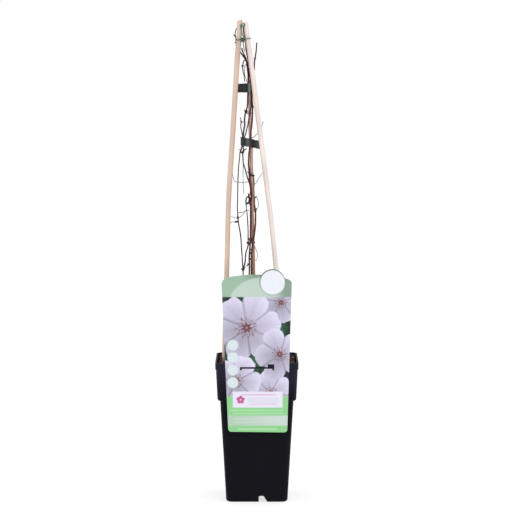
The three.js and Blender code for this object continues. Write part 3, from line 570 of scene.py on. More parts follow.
@dataclass(frozen=True)
class TintedFinish(Finish):
    """What the finishes that start from the tint share: a noise that shades and raises them.

    Attributes:
        size: The noise's size along X, Y and Z, in mm.
        detail: How many finer layers it has.
        crumble: How strong each finer layer is against the last.
        bounds: The noise values where the tint is darkest and lightest.
        dark: The darkest shade, as a factor.
        light: The lightest shade, as a factor.
        strength: How strongly the relief shows, or 0 for no relief.
        raised: How far the relief stands up, in mm.
        straightened: Whether the noise runs along the straightened piece.
    """

    size: Point = (1.0, 1.0, 1.0)
    detail: float = 2.0
    crumble: float = 0.5
    bounds: tuple[float, float] = (0.3, 0.7)
    dark: float = 1.0
    light: float = 1.0
    strength: float = 0.0
    raised: float = 0.0
    straightened: bool = False

    def height(self, tree: Tree) -> bpy.types.NodeSocket:
        """Adds the noise.

        Args:
            tree: The material's node tree.

        Returns:
            Its value.
        """
        if self.straightened:
            straight = add_node(tree, "ShaderNodeAttribute", {"attribute_name": "straight"})
            place = straight.outputs["Vector"]
        else:
            place = add_node(tree, "ShaderNodeTexCoord").outputs["Object"]
        squeeze = {"Vector": place, "Scale": [1 / (size * MM) for size in self.size]}
        vector = add_node(tree, "ShaderNodeMapping", sockets=squeeze).outputs[0]
        layers = {"Vector": vector, "Scale": 1.0, "Detail": self.detail, "Roughness": self.crumble}
        return add_node(tree, "ShaderNodeTexNoise", sockets=layers).outputs["Fac"]

    def pattern(self, tree: Tree, shader: bpy.types.Node) -> None:
        """Adds the tint times the noise's shade, and relief along the noise.

        Args:
            tree: The material's node tree.
            shader: The principled shader.
        """
        colour = add_node(tree, "ShaderNodeAttribute", {"attribute_name": "tint"}).outputs["Color"]
        height = self.height(tree)
        if self.dark != self.light:
            ramp = {0: height, 1: self.bounds[0], 2: self.bounds[1], 3: self.dark, 4: self.light}
            shade = add_node(tree, "ShaderNodeMapRange", sockets=ramp).outputs[0]
            times = {"data_type": "RGBA", "blend_type": "MULTIPLY"}
            colour = add_node(tree, "ShaderNodeMix", times, {0: 1.0, 6: colour, 7: shade}).outputs[2]
        tree.links.new(colour, shader.inputs["Base Color"])
        if self.strength:
            relief = {"Strength": self.strength, "Distance": self.raised * MM, "Height": height}
            bump = add_node(tree, "ShaderNodeBump", sockets=relief).outputs[0]
            tree.links.new(bump, shader.inputs["Normal"])


@dataclass(frozen=True)
class BarkCompost(TintedFinish):
    """Peat compost with composted bark: dull, crumbly and dark red-brown.

    Each crumb and chip has its own shade in the tint, which a fine crumbly noise breaks up.
    """

    size: Point = (1.6, 1.6, 1.6)
    detail: float = 6.0
    crumble: float = 0.7
    dark: float = 0.45
    light: float = 1.35
    strength: float = 0.8
    raised: float = 0.6


@dataclass(frozen=True)
class GrainedWood(TintedFinish):
    """Wood or bark whose grain runs along the stick.

    The noise is much longer along the straightened stick than across it. It darkens the tint in
    streaks and raises the surface along them.
    """

    size: Point = (1.0, 1.0, 30.0)
    detail: float = 4.0
    crumble: float = 0.6
    dark: float = 0.8
    light: float = 1.1
    strength: float = 0.6
    raised: float = 0.1
    straightened: bool = True


@dataclass(frozen=True)
class TyingTape(TintedFinish):
    """Thin extruded PVC tying tape: dark green-black and slightly shiny.

    Fine ribs from the die run along it, and handling leaves it faintly creased.

    Attributes:
        rib_share: How high the ribs are against the creases.
        crease: The size of a crease, in mm.
    """

    size: Point = (20.0, 20.0, 1.1)
    strength: float = 0.5
    raised: float = 0.4
    rib_share: float = 0.4
    crease: float = 6.0

    def height(self, tree: Tree) -> bpy.types.NodeSocket:
        """Adds the ribs and the creases.

        Args:
            tree: The material's node tree.

        Returns:
            Their summed value.
        """
        ribs = super().height(tree)
        place = add_node(tree, "ShaderNodeTexCoord").outputs["Object"]
        folds = {"Vector": place, "Scale": 1 / (self.crease * MM)}
        creases = add_node(tree, "ShaderNodeTexNoise", sockets=folds).outputs["Fac"]
        both = {0: ribs, 1: self.rib_share, 2: creases}
        return add_node(tree, "ShaderNodeMath", {"operation": "MULTIPLY_ADD"}, both).outputs[0]


@dataclass(frozen=True)
class CoatedWire(TintedFinish):
    """Steel tying wire in a smooth skin of green plastic, rubbed lighter and darker in places."""

    size: Point = (4.0, 4.0, 4.0)
    bounds: tuple[float, float] = (0.35, 0.65)
    dark: float = 0.85
    light: float = 1.2


@dataclass(frozen=True)
class PrintedCard(TintedFinish):
    """White polypropylene card, offset printed and laminated.

    It shows even colour under a soft gloss, which the laminate's faint waviness breaks up.
    """

    size: Point = (5.0, 5.0, 5.0)
    strength: float = 0.15
    raised: float = 0.1


@dataclass(frozen=True)
class LightTable(Finish):
    """White opal acrylic lit from below, the plain pale floor under the plant.

    It glows evenly, so shadows on it stay faint and soft.
    """

    colour: str = "#a4a4a4"
    light: str = "#ffffff"
    glow: float = 0.7

    def pattern(self, tree: Tree, shader: bpy.types.Node) -> None:
        """Sets one even colour and one even glow.

        Args:
            tree: The material's node tree.
            shader: The principled shader.
        """
        shader.inputs["Base Color"].default_value = linear(self.colour)
        shader.inputs["Emission Color"].default_value = linear(self.light)
        shader.inputs["Emission Strength"].default_value = self.glow


POT_PLASTIC = MouldedPolypropylene("moulded_black_polypropylene", 0.5, ior=1.49, specular=0.09)
COMPOST = BarkCompost("bark_and_peat_compost", 0.95, ior=1.45, specular=0.15)
PLANED_CANE = GrainedWood("planed_softwood_cane", 0.62, specular=0.3, dark=0.93, light=1.04)
BAMBOO = GrainedWood(
    "weathered_split_bamboo", 0.6, specular=0.35, size=(0.7, 0.7, 40.0), dark=0.72, light=1.18
)
BARK = GrainedWood(
    "stringy_climber_bark", 0.8, specular=0.25, size=(0.5, 0.5, 9.0), dark=0.6, light=1.35, raised=0.2
)
TAPE = TyingTape("extruded_tying_tape", 0.3, ior=1.53, specular=0.3)
WIRE = CoatedWire("plastic_coated_wire", 0.4, specular=0.45)
CARD = PrintedCard("laminated_printed_card", 0.35, specular=0.35)
LIGHT_TABLE = LightTable("opal_light_table", 0.9, specular=0.0)


# ---- pieces ----


def shade_smoothly(mesh: bpy.types.Mesh, crease: float) -> None:
    """Shades a mesh smoothly, apart from edges that are sharper than that many degrees."""
    mesh.shade_smooth()
    mesh.set_sharp_from_angle(angle=math.radians(crease))


def write_mesh(name: str, surface: Surface, crease: float) -> Piece:
    """Writes a surface as a Blender object in metres, at the origin.

    Args:
        name: The piece's name.
        surface: Its surface in mm.
        crease: Edges sharper than this many degrees stay sharp.

    Returns:
        The object.
    """
    mesh = bpy.data.meshes.new(name)
    faces = surface.quads.tolist() + surface.triangles.tolist()
    mesh.from_pydata((surface.points * MM).tolist(), [], faces)
    straight = mesh.attributes.new("straight", "FLOAT_VECTOR", "POINT")
    straight.data.foreach_set("vector", (surface.straight * MM).astype(np.float32).ravel())
    write_tint(mesh, surface.tint)
    shade_smoothly(mesh, crease)
    mesh.update()
    piece = bpy.data.objects.new(name, mesh)
    bpy.context.scene.collection.objects.link(piece)
    return piece


def write_tint(mesh: bpy.types.Mesh, tint: Array) -> None:
    """Writes sRGB colours as the mesh's tint, in linear light, one a point."""
    attribute = mesh.attributes.get("tint") or mesh.attributes.new("tint", "FLOAT_COLOR", "POINT")
    attribute.data.foreach_set("color", linear(tint).astype(np.float32).ravel())


def mesh_points(mesh: bpy.types.Mesh) -> Array:
    """Reads a mesh's points.

    Args:
        mesh: The mesh.

    Returns:
        (n, 3) places in mm.
    """
    flat = np.zeros(len(mesh.vertices) * 3)
    mesh.vertices.foreach_get("co", flat)
    return flat.reshape(-1, 3) / MM


def cut_away(piece: Piece, cutters: Sequence[Piece], crease: float) -> None:
    """Cuts closed meshes out of a piece, one after another, and deletes them.

    Args:
        piece: The piece, which is shaded again afterwards.
        cutters: What is cut out of it.
        crease: Edges sharper than this many degrees stay sharp.
    """
    for cutter in cutters:
        modifier = piece.modifiers.new("cut", "BOOLEAN")
        modifier.operation = "DIFFERENCE"
        modifier.solver = "MANIFOLD"
        modifier.object = cutter
        bpy.context.view_layer.update()
        cut = piece.evaluated_get(bpy.context.evaluated_depsgraph_get())
        old, piece.data = piece.data, bpy.data.meshes.new_from_object(cut)
        piece.modifiers.clear()
        piece.data.name = piece.name
        bpy.data.meshes.remove(old)
        bpy.data.objects.remove(cutter)
    shade_smoothly(piece.data, crease)


def fit(piece: Piece, finish: Finish, slot: Slot, *stands_for: str) -> None:
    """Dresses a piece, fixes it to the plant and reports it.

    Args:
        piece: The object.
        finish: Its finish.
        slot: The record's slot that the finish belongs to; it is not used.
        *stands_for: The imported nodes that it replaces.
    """
    piece.data.materials.clear()
    piece.data.materials.append(finish.material())
    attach(piece, BODY)
    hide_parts(*stands_for)
    LOG.info("%s: %d faces, %s", piece.name, len(piece.data.polygons), finish.name)


# ---- pot and compost ----


def rounded_profile(corners: Sequence[Point], longest: float) -> Array:
    """A profile with rounded corners, cut into short stretches.

    Formula: at each corner a quadratic curve runs between the points that lie the corner's size
    away from it on both sides. Stretches over the longest length are divided evenly.

    Args:
        corners: (half width, height, corner size) in mm.
        longest: The longest stretch, in mm.

    Returns:
        (n, 2) half widths and heights.
    """
    table = np.asarray(corners, float)
    places, sizes = table[:, :2], table[:, 2:3]

    def towards(target: Array) -> Array:
        """Goes from each corner towards a target by the corner's size.

        Args:
            target: (n, 2) targets.

        Returns:
            (n, 2) places.
        """
        gap = target - places
        length = np.maximum(np.linalg.norm(gap, axis=1, keepdims=True), 1e-6)
        return places + gap / length * np.minimum(sizes, 0.45 * length)

    start = towards(np.vstack([places[:1], places[:-1]]))
    end = towards(np.vstack([places[1:], places[-1:]]))
    share = np.linspace(0.0, 1.0, 6)[None, :, None]
    line = quadratic(start[:, None], places[:, None], end[:, None], share).reshape(-1, 2)
    keep = np.concatenate([[True], np.linalg.norm(np.diff(line, axis=0), axis=1) > 0.01])
    line = line[keep]
    reach = distances_along(line)
    steps = np.maximum(1, np.ceil(np.diff(reach) / longest).astype(int))
    extra = [np.linspace(a, b, n, endpoint=False) for a, b, n in zip(reach[:-1], reach[1:], steps)]
    return read_off(line, reach, np.append(np.concatenate(extra), reach[-1]))


@dataclass(frozen=True)
class SquareOutline:
    """The pot's outline seen from above: a square with rounded corners.

    Attributes:
        columns: Where columns stand along the middle of a side, in mm.
        corner_steps: Steps round each corner.
        side_steps: Steps along each side's outer parts.
        corner_share: The corner's radius as a share of the half width.
        fixed: Across the middle of each side, up to this many mm, columns keep their place.
        reference: The half width at which the other columns are spread evenly.
    """

    columns: tuple[float, ...]
    corner_steps: int
    side_steps: int
    corner_share: float = 0.18
    fixed: float = 20.0
    reference: float = 57.0

    def side_places(self) -> Array:
        """Places of the columns along one side at the reference half width.

        Returns:
            The places, in mm from the side's middle.
        """
        straight = self.reference * (1.0 - self.corner_share)
        outer = np.linspace(self.fixed, straight, self.side_steps + 1)[1:]
        return np.concatenate([-outer[::-1], self.columns, outer])

    def rings(self, half_widths: Array, heights: Array) -> tuple[Array, Array]:
        """One ring of the outline for each half width.

        Formula: on each side a column's place is kept within the fixed part, and beyond it is
        stretched so that the outermost column meets the corner. The corner is a quarter circle.
        The four sides are one side turned by quarter turns.

        Args:
            half_widths: (r,) half widths in mm.
            heights: (r,) heights in mm.

        Returns:
            (r, s, 3) places, and (r, s) places along the side that each column belongs to.
        """
        width = half_widths[:, None]
        straight = width * (1.0 - self.corner_share)
        radius = width * self.corner_share
        place = self.side_places()[None, :]
        spread = (straight - self.fixed) / (self.reference * (1.0 - self.corner_share) - self.fixed)
        beyond = np.sign(place) * (self.fixed + (np.abs(place) - self.fixed) * spread)
        across = np.where(np.abs(place) <= self.fixed, place, beyond)
        across = np.where(straight > self.fixed, across, place * straight / np.abs(place).max())
        turn = np.linspace(-math.pi / 2, 0.0, self.corner_steps + 1)[None, 1:-1]
        local_x = np.concatenate([across, straight + radius * np.cos(turn)], axis=1)
        local_y = np.concatenate([-width + 0.0 * across, -straight + radius * np.sin(turn)], axis=1)
        quarters = np.arange(4)[None, :, None] * math.pi / 2
        x, y = turned(local_x[:, None], local_y[:, None], quarters)
        z = heights[:, None, None] + 0.0 * x
        side = np.repeat(local_x[:, None], 4, axis=1)
        count = len(half_widths)
        return np.stack([x, y, z], axis=-1).reshape(count, -1, 3), side.reshape(count, -1)


@dataclass
class NurseryPot:
    """The tall square pot: one thin moulded wall with a collar, a lip and a notched foot ring.

    Attributes:
        bulge: How far the filled pot's sides swell out, in mm.
        flat: How much of each side is flat, as a share of the half width.
        notch: The outline of the notch under each side, as (place along the side, height).
    """

    rim_half: float = 65.8
    height: float = 224.8
    lip_height: float = 10.9
    lip_step: float = 1.2
    lip_wall: float = 2.7
    collar_foot_half: float = 62.4
    collar_foot_z: float = 166.5
    body_top_half: float = 58.1
    body_top_z: float = 163.5
    body_foot_half: float = 49.3
    wall: float = 1.5
    floor_top: float = 12.0
    foot_curve: float = 7.0
    foot_width: float = 3.0
    bulge: float = 0.8
    flat: float = 0.8
    notch: tuple[tuple[float, float], ...] = (
        (2.9, 0.0), (3.2, 9.4), (4.0, 10.2), (10.5, 10.2), (11.4, 9.2), (16.7, 0.0),
    )
    drain_radius: float = 5.0
    drain_offset: float = 27.0
    crease: float = 32.0
    outline: SquareOutline = SquareOutline(
        (-20.0, -13.0, -6.0, 0.0, 2.9, 3.2, 4.0, 7.0, 10.5, 11.4, 12.8, 14.6, 16.7, 20.0), 10, 5
    )

    def profile(self) -> Array:
        """The wall's profile, from under the floor out over the rim and down to the floor inside.

        Returns:
            (n, 2) half widths and heights.
        """
        foot_inner = self.body_foot_half - self.foot_curve - self.foot_width
        lip_foot = self.height - self.lip_height
        floor_under = self.floor_top - self.wall
        corners = [
            (2.0, floor_under, 0.0),
            (foot_inner - 1.0, floor_under, 1.0),
            (foot_inner, 0.0, 0.5),
            (self.body_foot_half - 0.3, 0.0, self.foot_curve),
            (self.body_foot_half + 0.1, 11.5, 0.0),
            (self.body_top_half, self.body_top_z, 0.5),
            (self.collar_foot_half - 1.0, self.body_top_z + 0.9, 0.4),
            (self.collar_foot_half, self.collar_foot_z, 1.2),
            (self.rim_half - self.lip_step, lip_foot - 0.8, 0.5),
            (self.rim_half, lip_foot + 0.4, 0.5),
            (self.rim_half, self.height, 0.7),
            (self.rim_half - self.lip_wall, self.height, 0.9),
            (self.collar_foot_half - self.wall, self.collar_foot_z + 1.0, 0.8),
            (self.body_top_half - self.wall, self.body_top_z, 0.8),
            (self.body_foot_half - self.wall, self.floor_top, 2.0),
            (2.0, self.floor_top, 0.0),
        ]
        return rounded_profile(corners, longest=8.0)

    def surface(self) -> Surface:
        """The pot's closed surface, before its drain holes are cut.

        Formula: the outline is carried along the profile. Between floor and collar the sides
        swell out by a sine arch both ways, and under each side the foot is lifted to the notch.

        Returns:
            The surface.
        """
        profile = self.profile()
        half = profile[:, :1]
        rings, along_side = self.outline.rings(profile[:, 0], profile[:, 1])
        heights = rings[..., 2]
        notch_x, notch_z = np.array(self.notch).T
        arch = np.interp(along_side, notch_x, notch_z, left=0.0, right=0.0)
        arch = np.where(np.abs(along_side) < self.flat * half, arch, 0.0)
        body = np.clip((heights - self.floor_top) / (self.body_top_z - self.floor_top), 0.0, 1.0)
        across = np.clip(along_side / half, -self.flat, self.flat) * math.pi / (2 * self.flat)
        growth = 1.0 + self.bulge * (np.sin(math.pi * body) * np.cos(across)) / half
        rings[..., :2] *= growth[..., None]
        rings[..., 2] = np.maximum(heights, arch)
        return closed_rings(rings)

    def drain_cutter(self, quarter: int) -> Piece:
        """A round plug through the floor near one corner.

        Args:
            quarter: The number of the corner, from 0 to 3.

        Returns:
            The plug.
        """
        turn = quarter * math.pi / 2 + math.pi / 4
        reach = self.drain_offset * math.sqrt(2.0)
        x, y = reach * math.cos(turn), reach * math.sin(turn)
        middle = self.floor_top - self.wall / 2
        route = [(x, y, middle - 3), (x, y, middle), (x, y, middle + 3)]
        plug = Rod(route, (self.drain_radius, self.drain_radius), 32, 3.0, 0.05)
        return write_mesh("drain_cutter", plug.surface(), crease=30.0)

    def build(self) -> None:
        """Makes the pot's wall, cuts its drain holes and dresses it."""
        pot = write_mesh("nursery_pot", self.surface(), self.crease)
        cut_away(pot, [self.drain_cutter(quarter) for quarter in range(4)], self.crease)
        fit(pot, POT_PLASTIC, Slot.POT, "pot")


@dataclass
class RootBall:
    """The compost that fills the pot, with bark chips lying on it.

    Attributes:
        lumps: The size, the height and the seed step of its lumps, its crumbs and its fine grain.
        keep_clear: Sticks and stems that no chip touches, as (x, y, radius).
    """

    pot: NurseryPot
    edge_z: float = 220.3
    middle_z: float = 221.8
    lumps: tuple[tuple[float, float, int], ...] = ((19.0, 0.7, 0), (5.5, 0.45, 1), (2.4, 0.25, 2))
    gap: float = 0.3
    chips: int = 620
    seed: int = 11
    dark: str = "#2f1c19"
    light: str = "#5a4338"
    chip_shades: tuple[str, ...] = ("#6a5a54", "#57463f", "#4a332c", "#3a2120", "#7c6a61", "#5c4a40")
    keep_clear: tuple[Point, ...] = (
        (-51.4, -12.1, 5.5),
        (45.8, -12.1, 5.5),
        (0.0, 8.0, 4.5),
        (-9.5, -3.0, 2.5),
        (-7.0, 2.5, 2.5),
        (-2.5, -0.5, 2.5),
    )
    outline: SquareOutline = SquareOutline(tuple(np.linspace(-20.0, 20.0, 21)), 8, 14)

    def top_height(self, x: Array, y: Array) -> Array:
        """The compost's height at many places.

        Formula: a low mound from the edge to the middle, plus lumps, crumbs and a fine grain.

        Args:
            x: Places along X.
            y: Places along Y.

        Returns:
            One height for each place.
        """
        edge = self.pot.rim_half - self.pot.lip_wall
        outward = np.clip(np.maximum(np.abs(x), np.abs(y)) / edge, 0.0, 1.0)
        height = self.middle_z + (self.edge_z - self.middle_z) * outward**2
        places = np.stack([x, y], axis=-1)
        for size, rise, step in self.lumps:
            height = height + rise * smooth_noise(places, size, self.seed + step)
        return height

    def bed(self) -> Surface:
        """The compost as one closed body: rounded-square rings up the wall and in across the top.

        Returns:
            The surface.
        """
        pot, gap = self.pot, self.gap
        edge = pot.rim_half - pot.lip_step - pot.lip_wall - gap
        wall = [
            (4.0, pot.floor_top + gap, 0.0),
            (pot.body_foot_half - pot.wall - 0.5, pot.floor_top + gap, 2.0),
            (pot.body_top_half - pot.wall - gap, pot.body_top_z, 1.0),
            (pot.collar_foot_half - pot.wall - 2 * gap, pot.collar_foot_z + 1.3, 1.0),
            (edge, self.edge_z - 2.0, 0.0),
        ]
        side = rounded_profile(wall, longest=14.0)
        top = np.linspace(edge - 0.6, 1.0, 58)
        widths = np.concatenate([side[:, 0], top])
        rings, _ = self.outline.rings(widths, np.concatenate([side[:, 1], top * 0.0]))
        on_top = rings[len(side) :]
        on_top[..., 2] = self.top_height(on_top[..., 0], on_top[..., 1])
        shade = 0.35 + 0.4 * smooth_noise(rings, 3.2, self.seed + 3)
        return closed_rings(rings, None, mix(self.dark, self.light, np.clip(shade, 0.0, 1.0)))

    def chip_surface(self) -> Surface:
        """All bark chips in one surface.

        Formula: each chip is a small faceted ball, stretched to a chip's length, width and
        thickness, roughened corner by corner, turned at random and laid on the compost.

        Returns:
            The surface.
        """
        draw = np.random.default_rng(self.seed)
        edge = self.pot.rim_half - self.pot.lip_wall - 3.5
        spots = draw.uniform(-edge, edge, (self.chips, 2))
        sticks = np.array(self.keep_clear)
        away = np.linalg.norm(spots[:, None] - sticks[None, :, :2], axis=2)
        spots = spots[(away > sticks[:, 2]).all(axis=1)]
        count = len(spots)
        rise = (np.linspace(-0.5, 0.5, 4) * math.pi * 0.8)[:, None]
        around = np.linspace(0.0, 2 * math.pi, 7, endpoint=False)
        ball = [np.cos(rise) * np.cos(around), np.cos(rise) * np.sin(around), np.sin(rise) + 0.0 * around]
        ball = np.stack(ball, axis=-1)
        length = draw.uniform(1.4, 4.6, count) * draw.choice([0.6, 1.0, 1.25], count)
        width = length * draw.uniform(0.35, 0.75, count)
        size = np.stack([length, width, draw.uniform(0.5, 1.3, count)], axis=1)
        rough = draw.uniform(0.72, 1.2, (count, *ball.shape[:2], 1))
        chips = ball[None] * rough * size[:, None, None, :]
        turn, tip = draw.uniform(0, 2 * math.pi, count), draw.normal(0.0, 0.3, count)
        tipped_x, tipped_z = turned(chips[..., 0], chips[..., 2], tip[:, None, None])
        x, y = turned(tipped_x, chips[..., 1], turn[:, None, None])
        ground = self.top_height(spots[:, 0], spots[:, 1]) + 0.35 * size[:, 2]
        middle = np.stack([spots[:, 0], spots[:, 1], ground], axis=-1)[:, None, None]
        places = np.stack([x, y, tipped_z], axis=-1) + middle
        limit = edge + 3.0
        places[..., :2] = np.clip(places[..., :2], -limit, limit)
        shades = np.array([channels(code) for code in self.chip_shades])
        tints = shades[draw.integers(0, len(shades), count)] * draw.uniform(0.8, 1.15, (count, 1))
        colours = np.broadcast_to(tints[:, None, None, :], places.shape)
        return joined([closed_rings(chip, None, colour) for chip, colour in zip(places, colours)])

    def build(self) -> None:
        """Makes and dresses the compost and its chips."""
        fit(write_mesh("compost_bed", self.bed(), crease=60.0), COMPOST, Slot.COMPOST, "soil")
        fit(write_mesh("bark_chips", self.chip_surface(), crease=25.0), COMPOST, Slot.COMPOST)


# ---- sticks ----


@dataclass
class PlanedCane:
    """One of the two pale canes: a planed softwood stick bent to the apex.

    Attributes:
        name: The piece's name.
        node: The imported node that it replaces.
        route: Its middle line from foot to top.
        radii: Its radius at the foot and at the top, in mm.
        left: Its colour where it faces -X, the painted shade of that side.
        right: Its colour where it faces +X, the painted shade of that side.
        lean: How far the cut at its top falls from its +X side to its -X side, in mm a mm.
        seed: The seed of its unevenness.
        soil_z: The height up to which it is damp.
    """

    name: str
    node: str
    route: Route
    radii: tuple[float, float]
    left: str
    right: str
    lean: float
    seed: int
    soil_z: float = 221.0

    def tint(self, rings: Array, outward: Array) -> Array:
        """Paints shade by the side that a point faces and a painted highlight down the middle, with cloudy
        bands and a damp foot.

        Args:
            rings: (r, s, 3) places.
            outward: (r, s, 3) outward directions.

        Returns:
            (r, s, 3) sRGB colours.
        """
        # painted shade: the colour turns from the -X side's to the +X side's with the way a point faces
        base = mix(self.left, self.right, (outward[..., 0] + 1.0) / 2.0)
        # painted highlight: lighter where a point faces front or back, down the middle of the cane
        base = base * (1.0 + 0.07 * (1.0 - outward[..., 0] ** 2))[..., None]
        height = rings[..., 2].mean(axis=1, keepdims=True)
        bands = smooth_noise(height, 85.0, self.seed) * 0.025
        damp = 1.0 - 0.35 * soft_step(-height, -self.soil_z - 4.0, 9.0)
        return np.clip(base * ((1.0 + bands[:, None]) * damp)[..., None], 0.0, 1.0)

    def relief(self, distance: Array, angle: Array) -> Array:
        """A factor for the radius, slightly uneven from the planing."""
        return 1.0 + 0.008 * unevenness(distance, angle, 30.0, 2.0, self.seed)

    def build(self) -> None:
        """Makes the cane, cuts its top at a lean and dresses it."""
        surface = Rod(self.route, self.radii, 28, 4.0, 1.0).surface(self.relief, self.tint)
        top = surface.points[:, 2].max()
        near_top = np.clip(1.0 - (top - surface.points[:, 2]) / 5.0, 0.0, 1.0)
        fall = self.lean * (self.route[-1][0] + self.radii[1] - surface.points[:, 0])
        surface.points[:, 2] -= near_top * np.maximum(fall, 0.0)
        fit(write_mesh(self.name, surface, crease=50.0), PLANED_CANE, Slot.PALE_CANE, self.node)


@dataclass
class BambooStake:
    """The thin brown bamboo in the middle, with its raised joints."""

    route: Route = (
        (3, 8, 70), (0, 8, 215), (-2.9, 8, 290), (-5, 8, 358), (-5.5, 8, 381.7), (-7.1, 8, 453.9),
        (-7.9, 8, 494), (-8.7, 8, 538.7), (-8.7, 8, 557.8), (-9.8, 8, 573.7), (-10.8, 8, 589.6),
        (-11.1, 8, 618.2), (-11.2, 8, 637.2), (-11.2, 8, 669.7),
    )
    radii: tuple[float, float] = (3.0, 2.5)
    joints: tuple[float, ...] = (301.0, 409.9, 517.2, 616.0)
    upper: str = "#bf9f94"
    lower: str = "#a07961"
    turning_z: float = 500.0
    scar: str = "#4a3028"

    def relief(self, distance: Array, angle: Array) -> Array:
        """A factor for the radius: a low ridge at each joint with a narrow groove above it.

        Args:
            distance: (r, 1) distances along.
            angle: (1, s) angles round.

        Returns:
            (r, s) factors.
        """
        gap = self.route[0][2] + distance[..., None] - np.array(self.joints)
        ridge = 0.16 * bell(gap, 0.0, 1.6) - 0.1 * bell(gap, 2.6, 0.8)
        return 1.0 + ridge.sum(axis=-1) + 0.0 * angle

    def tint(self, rings: Array, outward: Array) -> Array:
        """Pinkish brown above, tan below, with a dark scar round each joint.

        Args:
            rings: (r, s, 3) places.
            outward: (r, s, 3) outward directions, which are not used.

        Returns:
            (r, s, 3) sRGB colours.
        """
        height = rings[..., 2]
        base = mix(self.lower, self.upper, soft_step(height, self.turning_z, 160.0))
        scar = bell(height[..., None] - np.array(self.joints), 1.8, 1.1).sum(axis=-1)
        blotch = smooth_noise(rings * [1, 1, 0.2], 4.0, 5)
        return mix(base, self.scar, np.clip(0.75 * scar, 0, 1)) * (1 + 0.08 * blotch)[..., None]

    def build(self) -> None:
        """Makes and dresses the stake."""
        surface = Rod(self.route, self.radii, 22, 1.5, 0.5).surface(self.relief, self.tint)
        fit(write_mesh("bamboo_stake", surface, crease=50.0), BAMBOO, Slot.BROWN_CANE, "stake")


# ---- stems ----


@dataclass(frozen=True)
class Look:
    """Rib depth against the radius, joint size against a main shoot's, and the colours of both ends."""

    ribs: float
    joints: float
    root: str
    tip: str


class Growth(Enum):
    """The kinds of shoots and how each looks."""

    MAIN = Look(0.10, 1.0, "#46303a", "#3c2228")
    REDDISH = Look(0.10, 1.0, "#4a2f2a", "#5a2c2e")
    TWIG = Look(0.08, 0.6, "#3c2830", "#3a2c36")
    STUB = Look(0.12, 0.8, "#241a20", "#241a20")
    TENDRIL = Look(0.04, 0.6, "#5d5060", "#8d8590")


@dataclass(frozen=True)
class Shoot:
    """One shoot, twig or tendril.

    Attributes:
        route: Its points from root to tip, in mm.
        radii: Its radius at both ends.
        growth: How it looks.
        joints: The points of the route that are leaf joints with a pair of buds.
    """

    route: Route
    radii: tuple[float, float]
    growth: Growth = Growth.MAIN
    joints: tuple[int, ...] = ()


